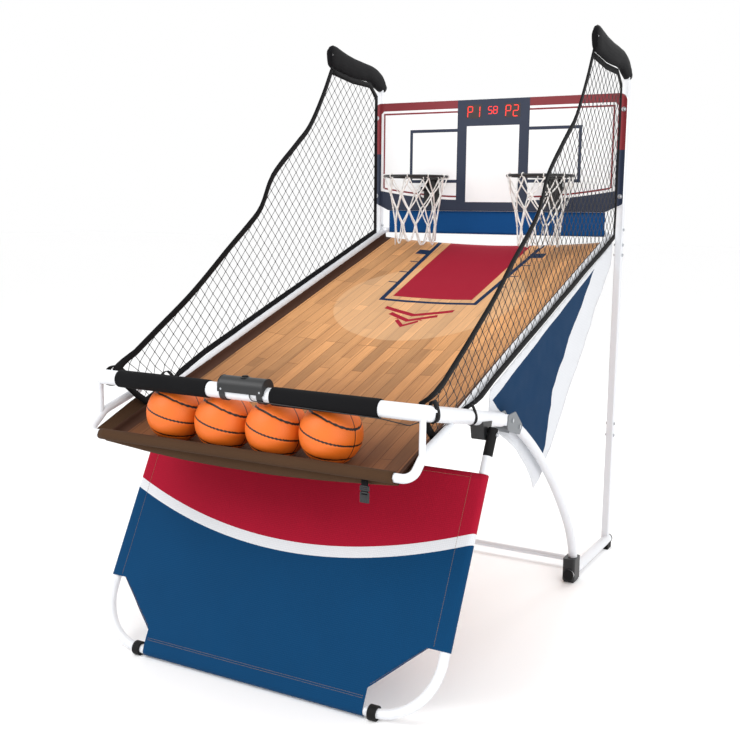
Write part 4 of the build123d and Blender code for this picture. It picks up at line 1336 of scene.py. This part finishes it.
class HOOP_OT_side_nets(bpy.types.Operator):
    """Knotted side nets in webbing borders, tied to the bar, with cloth sleeves on the top arms"""

    bl_idname = "hoop.side_nets"
    bl_label = "Side nets"

    def execute(self, context):
        nets = context.scene.hoop_nets
        outline = net_outline()
        inner = [tuple(p) for p in offset_inside(outline, nets.border * 0.6)]
        for side, word in ((-1, "left"), (1, "right")):
            place = net_place(side)
            verts, edges, knots = lattice(inner, nets.cell, place, 0.002)
            inputs = {
                "Strand radius": nets.strand / 2,
                "Knot radius": nets.strand * 1.15,
                "Sides": 5,
                "Finish": MATERIALS["strand"],
            }
            net = grown(f"net_mesh_{word}", verts, edges, "strands", inputs, knots)
            replaced = [f"side_net_{word}"] + (["side_net_front"] if side > 0 else [])
            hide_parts(*replaced)
            self.bend(net)
            self.border(outline, nets.border, word, place)
            self.loops(side, word)
            self.sleeve(side, word)
        return {"FINISHED"}

    def bend(self, piece):
        """Bakes the piece's placement into its mesh."""
        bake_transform(piece)

    def border(self, outline, width, word, place):
        """Webbing folded over the edge of the net."""
        fine = []
        for a, b in zip(outline, outline[1:] + outline[:1]):
            a, b = Vector(a), Vector(b)
            count = max(1, int((b - a).length / 0.03))
            fine += [tuple(a.lerp(b, k / count)) for k in range(count)]
        fine.append(fine[0])
        rings = [offset_inside(fine[:-1], w) for w in (0.0, width / 2, width)]
        rows = []
        for k in range(len(fine)):
            i = k % (len(fine) - 1)
            rows.append([place(*ring[i]) for ring in rings])
        shape = Shape()
        shape.grid(rows, 0, lambda i, j: (j * width / 2, i * 0.03))
        band = thicken(shape.make(f"net_border_{word}", ["webbing"]), 0.0026, 0.0)
        self.bend(band)
        length = sum((Vector(b) - Vector(a)).length for a, b in zip(fine, fine[1:]))

    def loops(self, side, word):
        """Webbing loops that hold the net's front corner on the bar."""
        shape = Shape()
        for y, wide in ((-0.806, 0.013), (-0.560, 0.008)):
            z = arm_height(y)
            ring = []
            for k in range(24):
                turn = TAU * k / 24
                lift = 0.014 * max(0.0, math.sin(turn)) ** 3
                skew = -0.020 * math.cos(turn) * wide / 0.013
                ring.append(
                    Vector(
                        (
                            side * (0.549 + 0.0235 * math.cos(turn)),
                            y + skew,
                            z + (0.0235 + lift) * math.sin(turn),
                        )
                    )
                )
            ring.append(ring[0])
            rows = [[p + Vector((0, d * wide, 0)) for d in (-1, 0, 1)] for p in ring]
            shape.grid(rows, 0, lambda i, j: (j * 0.012, i * 0.006))
        loop = thicken(shape.make(f"net_loops_{word}", ["webbing"], merge=0.0001), 0.0014, -side * 1.0)
        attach(loop, FRONT)

    def sleeve(self, side, word):
        """Black cloth bag pulled over the top arm."""
        upper = [
            (0.940, 1.918),
            (0.917, 1.950),
            (0.884, 1.970),
            (0.827, 1.987),
            (0.740, 1.995),
            (0.651, 2.003),
            (0.570, 2.016),
            (0.491, 2.031),
            (0.459, 2.010),
        ]
        lower = [
            (0.922, 1.889),
            (0.890, 1.889),
            (0.845, 1.902),
            (0.797, 1.919),
            (0.720, 1.920),
            (0.643, 1.921),
            (0.566, 1.929),
            (0.488, 1.939),
            (0.470, 1.947),
        ]
        top = smooth_path([(0, y, z) for y, z in upper], 0.012)
        low = smooth_path([(0, y, z) for y, z in lower], 0.012)
        shape = Shape()
        rows = []
        count = 48
        for i in range(count + 1):
            t = i / count
            a = top[min(len(top) - 1, round(t * (len(top) - 1)))]
            b = low[min(len(low) - 1, round(t * (len(low) - 1)))]
            mid, up = (a + b) / 2, (a - b) / 2
            row = []
            for k in range(21):
                turn = TAU * k / 20
                wide = 0.0145 * abs(math.cos(turn)) ** 0.6 * (1 if math.cos(turn) > 0 else -1)
                p = mid + up * math.sin(turn)
                p.x = side * ARM_X + wide * (1 - 0.25 * max(0.0, t - 0.9) * 10)
                p.x += crease((p.y, p.z * 2, wide * 30), 22.0, 0.0014, side) * (1 if abs(wide) > 0.004 else 0)
                row.append(p)
            row[-1] = row[0].copy()
            rows.append(row)
        shape.grid(rows, 0, lambda i, j: (j * 0.006, i * 0.012))
        for row in (rows[0], list(reversed(rows[-1]))):
            middle = shape.point(sum(row[:-1], Vector()) / 20)
            ids = [shape.point(p) for p in row[:-1]]
            for k in range(20):
                shape.face([middle, ids[(k + 1) % 20], ids[k]], 0)
        bag = shape.make(f"arm_sleeve_{word}", ["black_cloth"], merge=0.0002)
        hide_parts(f"net_sleeve_{word}")
        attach(bag, BACK)
        seam = [p + Vector((side * ARM_X, 0, 0.0006)) for p in top[2:-3]]
        stitched(f"arm_sleeve_stitches_{word}", [seam], BACK, "thread_brown", 0.006, 0.0004)


# ------------------------------------------------------------------ hoop nets
HOOP_X, HOOP_Y, HOOP_Z = 0.272, 0.718, 1.517
RING_R = 0.129
RING_LOOP_R = 0.0082
FIRST_LOOP = math.radians(78.6)


class HOOP_OT_hoop_nets(bpy.types.Operator):
    """White rope nets hung from the two rings"""

    bl_idname = "hoop.hoop_nets"
    bl_label = "Hoop nets"

    def execute(self, context):
        nets = context.scene.hoop_nets
        loops = 10
        levels = [(1.5085, RING_R), (1.4450, 0.1130), (1.3830, 0.0970), (1.3200, 0.0880)]
        for side, word in ((-1, "left"), (1, "right")):
            verts, edges, knots = [], [], []

            def at(level, step, side=side):
                z, r = levels[level]
                step %= 2 * loops
                if level:
                    z += 0.0050 * math.sin(5.3 * step + 2.0 * level + side)
                    r += 0.0040 * math.sin(3.1 * step + 4.0 * level + 2 * side)
                a = FIRST_LOOP + TAU * step / (2 * loops) + 0.05 * math.sin(2.7 * step * level + side)
                return Vector((side * (HOOP_X + r * math.cos(a)), HOOP_Y + r * math.sin(a), z))

            def join(a, b, droop, count=5):
                first = len(verts)
                for k in range(count):
                    t = k / (count - 1)
                    p = a.lerp(b, t)
                    p.z -= droop * math.sin(math.pi * t) ** 0.8
                    verts.append(p)
                    knots.append(0.0)
                edges.extend((first + k, first + k + 1) for k in range(count - 1))

            for level in range(3):
                for step in range(2 * loops):
                    if (step + level) % 2 == 0:
                        for turn in (-1, 1):
                            join(at(level, step), at(level + 1, step + turn), 0.004)
            for step in range(1, 2 * loops, 2):
                hang = 0.076 + 0.008 * math.sin(4.1 * step + side)
                join(at(3, step), at(3, step + 2), hang, 11)
            for level in range(1, 4):
                for step in range(2 * loops):
                    if (step + level) % 2 == 0:
                        verts.append(at(level, step))
                        knots.append(1.0)
            inputs = {
                "Strand radius": nets.rope / 2,
                "Knot radius": nets.rope * 0.92,
                "Sides": 8,
                "Finish": MATERIALS["rope"],
            }
            net = grown(f"hoop_net_{word}", verts, edges, "strands", inputs, knots)
            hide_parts(f"rim_net_{word}")
            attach(net, BACK)
            shape = Shape()
            for step in range(0, 2 * loops, 2):
                a = FIRST_LOOP + TAU * step / (2 * loops)
                out = Vector((side * math.cos(a), math.sin(a), 0))
                centre = Vector((side * HOOP_X, HOOP_Y, HOOP_Z)) + out * RING_R
                ring = []
                for k in range(14):
                    turn = TAU * k / 14
                    ring.append(
                        centre + out * RING_LOOP_R * math.cos(turn) + Vector(
                            (0, 0, RING_LOOP_R)
                        ) * math.sin(turn)
                    )
                shape.tube(ring, nets.rope * 0.34, 7, closed=True)
            hooks = shape.make(f"hoop_net_loops_{word}", ["rope"])
            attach(hooks, BACK)
        return {"FINISHED"}


# ------------------------------------------------------------------ balls
def seam_mark(n):
    """1 in the seams of an eight-panel ball, 0 on the panels, for a unit direction."""
    reach = min(abs(n.x), abs(n.z), abs(abs(n.x) - 0.50 - 0.22 * n.z * n.z) / 1.12)
    t = max(0.0, min(1.0, (0.036 - reach) / 0.012))
    return t * t * (3 - 2 * t)


class HOOP_OT_balls(bpy.types.Operator):
    """Rubber mini basketballs with moulded seams"""

    bl_idname = "hoop.balls"
    bl_label = "Balls"

    def execute(self, context):
        pole, side = Vector((0.267, 0.035, 0.966)).normalized(), Vector((0.993, -0.098, 0.092))
        third = pole.cross(side).normalized()
        facing = Matrix((pole, third.cross(pole), third)).transposed()
        for i, turn in enumerate((0.10, 0.02, -0.04, -0.10)):
            low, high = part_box(f"ball_{i + 1}")
            centre = (Vector(low) + Vector(high)) / 2
            radius = (high[0] - low[0]) / 2
            work = bmesh.new()
            bmesh.ops.create_icosphere(work, subdivisions=6, radius=1.0)
            spin = Matrix.Rotation(turn, 3, "Z") @ facing
            marks = []
            for v in work.verts:
                n = v.co.normalized()
                mark = seam_mark(n)
                marks.append(mark)
                v.co = centre + (spin @ n) * (radius - 0.0015 * mark)
            for f in work.faces:
                f.smooth = True
            mesh = bpy.data.meshes.new(f"basketball_{i + 1}")
            work.to_mesh(mesh)
            work.free()
            seam = mesh.attributes.new("seam", "FLOAT", "POINT")
            seam.data.foreach_set("value", marks)
            mesh.materials.append(MATERIALS["ball"])
            made = link(f"basketball_{i + 1}", mesh)
            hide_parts(f"ball_{i + 1}")
            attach(made, f"ball_{i + 1}")
        return {"FINISHED"}


# ------------------------------------------------------------------ backboard, display, fittings
BOARD_Y = 0.877
PRINT_T = 0.0004


class HOOP_OT_board_print(bpy.types.Operator):
    """Printed backboard markings, lit display digits and the board's bolts"""

    bl_idname = "hoop.board_print"
    bl_label = "Backboard print"

    def execute(self, context):
        shape = Shape()

        def patch(points, mat):
            for side in (-1, 1):
                outline = [Vector((side * x, BOARD_Y - PRINT_T, z)) for x, z in points]
                if side < 0:
                    outline.reverse()
                shape.slab(outline, (0, PRINT_T * 0.9, 0), mat)

        def box(x0, x1, z0, z1, mat):
            patch([(x0, z0), (x1, z0), (x1, z1), (x0, z1)], mat)

        red, navy = 0, 1

        def bend(x, z, r, first, last):
            """Points of a rounded corner: its centre, radius and first and last angle."""
            return [
                (x + r * math.cos(math.radians(t)), z + r * math.sin(math.radians(t)))
                for t in steps(first, last, 10)
            ]

        def foot(rise):
            """The swept lower edge of the white field, raised by the given height."""
            return [(0.160 + t * 0.364, 1.4240 + 0.0370 * t**1.7 + rise) for t in steps(0, 1, 0.1)]

        patch(
            [(0.160, 1.803)]
            + bend(0.512, 1.791, 0.012, 90, 0)
            + [(0.524, 1.620), (0.5575, 1.620)]
            + bend(0.5275, 1.8065, 0.030, 0, 90)
            + [(0.160, 1.8365)],
            red,
        )
        patch(
            foot(0.0)
            + [(0.524, 1.620), (0.5575, 1.620), (0.5575, 1.4165)]
            + bend(0.5510, 1.4140, 0.006, 0, -60)
            + bend(0.4850, 1.3835, 0.006, -60, -90)
            + [(0.160, 1.3775)],
            navy,
        )
        box(0.505, 0.512, 1.4720, 1.793, red)
        box(0.160, 0.505, 1.786, 1.793, red)
        inline = [(x, z) for x, z in foot(0.0105) if x < 0.505]
        patch(inline + [(0.505, 1.4685), (0.505, 1.4755)] + [(x, z + 0.0070) for x, z in reversed(inline)], red)
        box(0.117, 0.160, 1.3775, 1.8365, navy)
        box(0.0, 0.117, 1.3775, 1.415, navy)
        box(0.0, 0.117, 1.729, 1.8365, navy)
        box(0.160, 0.382, 1.707, 1.720, navy)
        box(0.160, 0.382, 1.495, 1.508, navy)
        box(0.369, 0.382, 1.508, 1.707, navy)
        made = shape.make("board_print", ["board_red", "board_navy", "board"], smooth=False)
        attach(made, BACK)
        self.digits()
        self.bolts()
        return {"FINISHED"}

    def digits(self):
        """Seven-segment figures: two scores and a clock, of two places each."""
        segments = {
            "P": "abefg", "1": "bc", "5": "acdfg", "8": "abcdefg", "2": "abdeg",
        }
        lit, dark = Shape(), Shape()
        for x0, x1 in ((-0.120, -0.051), (0.051, 0.120)):
            corners = [(x0, 1.760), (x1, 1.760), (x1, 1.816), (x0, 1.816)]
            dark.slab([Vector((x, BOARD_Y - 0.0008, z)) for x, z in corners], (0, 0.0003, 0))
        for text, x0, wide, pitch, z0, tall, bar in (
            ("P1", -0.114, 0.0205, 0.0330, 1.7645, 0.0435, 0.0032),
            ("58", -0.022, 0.0165, 0.0228, 1.7770, 0.0285, 0.0028),
            ("P2", 0.0555, 0.0205, 0.0330, 1.7645, 0.0435, 0.0032),
        ):
            for k, figure in enumerate(text):
                x = x0 + k * pitch
                mid, high = z0 + tall / 2, z0 + tall
                places = {
                    "a": (
                        (x, high), (x + wide, high)
                    ), "g": ((x, mid), (x + wide, mid)), "d": ((x, z0), (x + wide, z0)),
                    "f": ((x, mid), (x, high)), "b": ((x + wide, mid), (x + wide, high)),
                    "e": ((x, z0), (x, mid)), "c": ((x + wide, z0), (x + wide, mid)),
                }
                for key in segments[figure]:
                    a, b = (Vector((end[0], 0, end[1])) for end in places[key])
                    along = (b - a).normalized()
                    out = Vector((along.z, 0, -along.x)) * bar / 2
                    a, b = a + along * bar * 0.2, b - along * bar * 0.2
                    tip = along * bar / 2
                    outline = [a, a + tip + out, b - tip + out, b, b - tip - out, a + tip - out]
                    outline = [p + Vector((0.0016 * (p.z - z0) / tall, BOARD_Y - 0.0013, 0)) for p in outline]
                    lit.slab(outline, (0, 0.0004, 0))
        for shape, name, material in ((lit, "display_figures", "led"), (dark, "display_panes", "tint")):
            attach(shape.make(name, [material], smooth=False), BACK)

    def bolts(self):
        """Domed bolts and washers that hold the board to the uprights."""
        shape = Shape()
        for side in (-1, 1):
            for z in (1.775, 1.440):
                rows = []
                for r, lift in (
                    (0.0, 0.0052),
                    (0.003, 0.0050),
                    (0.0052, 0.0038),
                    (0.0066, 0.0016),
                    (0.0066, 0.0012),
                    (0.0092, 0.0012),
                    (0.0095, 0.0),
                ):
                    row = [
                        Vector(
                            (
                                side * 0.546 + r * math.cos(TAU * k / 24),
                                BOARD_Y - 0.0004 - lift,
                                z + r * math.sin(TAU * k / 24),
                            )
                        )
                        for k in range(24)
                    ]
                    rows.append(row + [row[0]])
                shape.grid(rows, 0)
        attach(crisp(shape.make("board_bolts", ["zinc"], merge=0.00001)), BACK)


class HOOP_OT_fittings(bpy.types.Operator):
    """Foam grips, control box trim, tray strap and buckle, and the small caps"""

    bl_idname = "hoop.fittings"
    bl_label = "Grips and fittings"

    def execute(self, context):
        bar_y, bar_z = -0.8977, 0.874
        for side, word in ((-1, "left"), (1, "right")):
            shape = Shape()
            rows = []
            profile = [(0.0, 0.0224), (0.0, 0.0235), (0.0008, 0.0249), (0.003, 0.0258)]
            xs = [(0.108 + a, r) for a, r in profile] + [(x, 0.026) for x in steps(0.114, 0.437, 0.008)]
            xs += [(0.443 - a, r) for a, r in reversed(profile)]
            for x, r in xs:
                row = []
                for k in range(36):
                    turn = TAU * k / 36
                    dent = 1.0 + crease(
                        (x * 3, math.cos(turn), math.sin(turn)), 2.4, 0.006, side
                    ) if r > 0.0255 else 1.0
                    row.append(
                        Vector((side * x, bar_y + r * dent * math.cos(turn), bar_z + r * dent * math.sin(turn)))
                    )
                rows.append(row + [row[0]])
            shape.grid(rows + [rows[0]], 0)
            foam = crisp(shape.make(f"foam_sleeve_{word}", ["foam"], merge=0.00001), 50)
            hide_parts(f"foam_grip_{word}")
            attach(foam, FRONT)
        self.box_trim(bar_y, bar_z)
        self.strap()
        self.boots()
        return {"FINISHED"}

    def boots(self):
        """Thin black sleeves on the tops of the front legs."""
        shape = Shape()
        top = Vector((0, -0.488, 0.745))
        for side in (-1, 1):
            line = [top + LEG_UP * t + Vector((side * LEG_X, 0, 0)) for t in steps(-0.066, 0.0185, 0.0065)]
            shape.tube(line, lambda t: 0.01445 - 0.0002 * (t < 0.02 or t > 0.98), 28)
        boots = crisp(shape.make("leg_boots", ["rubber"]), 40)
        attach(boots, "front_legs")

    def box_trim(self, bar_y, bar_z):
        """Parting line, screw heads and button ring of the control box."""
        shape = Shape()
        ring = [
            Vector(
                (
                    0.015 + 0.0122 * math.cos(TAU * k / 40),
                    bar_y + 0.0122 * math.sin(TAU * k / 40),
                    bar_z + 0.0442,
                )
            )
            for k in range(40)
        ]
        shape.tube(ring, 0.0017, 10, 0, closed=True)
        for x in (-0.060, 0.090):
            line = [Vector((x, bar_y - 0.0271, bar_z + 0.004)), Vector((x, bar_y - 0.0271, bar_z + 0.0205))]
            line += [
                Vector((x, bar_y - 0.0271 * math.cos(t), bar_z + 0.0215 + 0.0240 * math.sin(t)))
                for t in steps(0.05, math.pi - 0.05, 0.2)
            ]
            line += [Vector((x, bar_y + 0.0271, bar_z + 0.0205)), Vector((x, bar_y + 0.0271, bar_z + 0.004))]
            shape.tube(line, 0.0007, 5, 0)
        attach(shape.make("control_box_trim", ["abs"]), FRONT)
        screws = Shape()
        for x in (-0.050, 0.080):
            centre = Vector((x, bar_y - 0.0272, bar_z + 0.010))
            rows = []
            for r, lift in ((0.0, 0.0), (0.0009, 0.0), (0.0010, 0.0008), (0.0026, 0.0006), (0.0030, 0.0)):
                row = [
                    centre + Vector((r * math.cos(TAU * k / 16), -lift, r * math.sin(TAU * k / 16)))
                    for k in range(16)
                ]
                rows.append(row + [row[0]])
            screws.grid(rows, 0)
        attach(screws.make("control_box_screws", ["zinc"], merge=0.00001), FRONT)

    def strap(self):
        """Webbing strap hanging from the hem, with its slider and half buckle."""
        x0, top = 0.412, 0.6897
        shape = Shape()
        rows = []
        for z in steps(top, top - 0.052, 0.003):
            lap = 0.0010 * math.sin((top - z) * 60)
            rows.append([Vector((x0 + dx, HEM_Y + lap, z)) for dx in (-0.010, -0.005, 0.0, 0.005, 0.010)])
        shape.grid(rows, 0, lambda i, j: (j * 0.005, i * 0.003))
        strap = thicken(shape.make("hem_webbing", ["webbing"]), 0.0016, 0.0)
        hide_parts("hem_strap")
        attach(strap, "strap")
        parts = Shape()
        for low, high, wide in ((top - 0.030, top - 0.020, 0.014), (top - 0.062, top - 0.037, 0.0135)):
            for bar in (0, 1, 2):
                z = low + (high - low) * bar / 2
                parts.tube(
                    [Vector((x0 - wide + 0.003, HEM_Y, z)), Vector((x0 + wide - 0.003, HEM_Y, z))],
                    0.0019,
                    10,
                    flat=1.3,
                )
            for side in (-1, 1):
                x = x0 + side * (wide - 0.0022)
                parts.tube(
                    [Vector((x, HEM_Y, low - 0.0016)), Vector((x, HEM_Y, high + 0.0016))], 0.0024, 10, flat=1.2
                )
        z = top - 0.0500
        outline = [
            Vector((x0 + dx, HEM_Y - 0.0020, z + dz))
            for dx, dz in ((-0.010, -0.010), (0.010, -0.010), (0.011, 0.008), (-0.011, 0.008))
        ]
        parts.slab(outline, (0, 0.004, 0))
        buckle = bevelled(parts.make("hem_buckle", ["abs"], smooth=False), 0.0005)
        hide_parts("strap_buckle")
        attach(buckle, "strap")


# ------------------------------------------------------------------ finishes of the machined parts
FINISHES = {
    "white_steel": "steel", "black_plastic": "abs", "black_rubber": "rubber", "grey_steel": "grey",
    "zinc_steel": "zinc", "black_steel": "black_steel", "board": "board", "white_rope": "rope",
    "blue_cloth": "panel_blue", "brown_cloth": "hem", "white_cloth": "white_cloth", "banner_cloth": "banner_red",
    "black_net": "strand", "black_cloth": "black_cloth", "black_foam": "foam", "black_cable": "jacket",
    "ball_rubber": "ball",
}


class HOOP_OT_finishes(bpy.types.Operator):
    """Gives every frame part its finish"""

    bl_idname = "hoop.finishes"
    bl_label = "Frame finishes"

    def execute(self, context):
        MATERIALS.update(make_materials(context.scene.hoop_colours))
        slots = {part["node"]: part["material_slot"] for part in frame["record"]["subparts"]}
        for name, made in frame["nodes"].items():
            made.data.materials.clear()
            made.data.materials.append(MATERIALS[FINISHES[slots[name]]])
        return {"FINISHED"}


# ------------------------------------------------------------------ stage
class HOOP_OT_stage(bpy.types.Operator):
    """Pale floor, soft studio lights and the camera"""

    bl_idname = "hoop.stage"
    bl_label = "Stage"

    def execute(self, context):
        shape = Shape()
        shape.slab(
            [Vector(p) for p in ((-40, -40, -0.002), (40, -40, -0.002), (40, 40, -0.002), (-40, 40, -0.002))],
            (0, 0, 0.0019),
        )
        floor = shape.make("studio_floor", [], smooth=False)
        paint, _, _ = finish("studio_white", "#FFFFFF", Roughness=0.7)
        floor.data.materials.append(paint)
        for name, place, aim, size, power in (
            ("key_light", (-2.2, -3.6, 3.8), (0, -0.2, 0.9), 2.6, 95),
            ("fill_light", (3.6, -2.6, 2.4), (0, 0, 0.9), 2.4, 55),
            ("rim_light", (0.5, 3.2, 3.4), (0, 0, 1.1), 2.0, 60),
        ):
            light = bpy.data.lights.new(name, "AREA")
            light.size = size
            light.energy = power
            lamp = bpy.data.objects.new(name, light)
            lamp.location = place
            lamp.rotation_euler = (Vector(aim) - Vector(place)).to_track_quat("-Z", "Y").to_euler()
            context.scene.collection.objects.link(lamp)
        world = bpy.data.worlds.new("studio")
        world.use_nodes = True
        background = world.node_tree.nodes["Background"]
        background.inputs["Color"].default_value = (1, 1, 1, 1)
        background.inputs["Strength"].default_value = 1.0
        context.scene.world = world
        context.scene.view_settings.view_transform = "Standard"
        self.camera(context)
        return {"FINISHED"}

    def camera(self, context):
        """The camera: yaw and pitch of its aim, then a small roll."""
        yaw, pitch, roll = (math.radians(a) for a in (28.88, 8.91, 0.59))
        aim = Vector((-math.sin(yaw) * math.cos(pitch), math.cos(yaw) * math.cos(pitch), -math.sin(pitch)))
        right = Vector((math.cos(yaw), math.sin(yaw), 0))
        up = right.cross(aim)
        across = right * math.cos(roll) + up * math.sin(roll)
        above = up * math.cos(roll) - right * math.sin(roll)
        lens = bpy.data.cameras.new("front_camera")
        lens.lens = 49.94
        lens.sensor_width = 36
        made = bpy.data.objects.new("front_camera", lens)
        turn = Matrix((across, above, -aim)).transposed().to_4x4()
        made.matrix_world = Matrix.Translation((1.6705, -3.1844, 1.3813)) @ turn
        context.scene.collection.objects.link(made)
        context.scene.camera = made
        return made


# ------------------------------------------------------------------ panel and main
class HOOP_PT_machine(bpy.types.Panel):
    """Buttons for each group of the machine"""

    bl_idname = "HOOP_PT_machine"
    bl_label = "Hoop Machine"
    bl_space_type = "VIEW_3D"
    bl_region_type = "UI"
    bl_category = "Hoop Machine"

    def draw(self, context):
        for group in (context.scene.hoop_cloth, context.scene.hoop_nets, context.scene.hoop_colours):
            box = self.layout.box()
            for name in group.__annotations__:
                box.prop(group, name)
        for piece in OPERATORS:
            self.layout.operator(piece.bl_idname)


OPERATORS = (
    HOOP_OT_finishes, HOOP_OT_playfield, HOOP_OT_banner, HOOP_OT_side_panels, HOOP_OT_side_nets,
    HOOP_OT_hoop_nets, HOOP_OT_balls, HOOP_OT_board_print, HOOP_OT_fittings, HOOP_OT_stage,
)
GROUPS = (HoopCloth, HoopNets, HoopColours)
CLASSES = GROUPS + OPERATORS + (HOOP_PT_machine,)


def register():
    for piece in CLASSES:
        bpy.utils.register_class(piece)
    bpy.types.Scene.hoop_cloth = bpy.props.PointerProperty(type=HoopCloth)
    bpy.types.Scene.hoop_nets = bpy.props.PointerProperty(type=HoopNets)
    bpy.types.Scene.hoop_colours = bpy.props.PointerProperty(type=HoopColours)


def unregister():
    del bpy.types.Scene.hoop_colours
    del bpy.types.Scene.hoop_nets
    del bpy.types.Scene.hoop_cloth
    for piece in reversed(CLASSES):
        bpy.utils.unregister_class(piece)


def main():
    register()
    bpy.ops.hoop.finishes()
    bpy.ops.hoop.playfield()
    bpy.ops.hoop.banner()
    bpy.ops.hoop.side_panels()
    bpy.ops.hoop.side_nets()
    bpy.ops.hoop.hoop_nets()
    bpy.ops.hoop.balls()
    bpy.ops.hoop.board_print()
    bpy.ops.hoop.fittings()
    bpy.ops.hoop.stage()


if __name__ == "__main__":
    main()
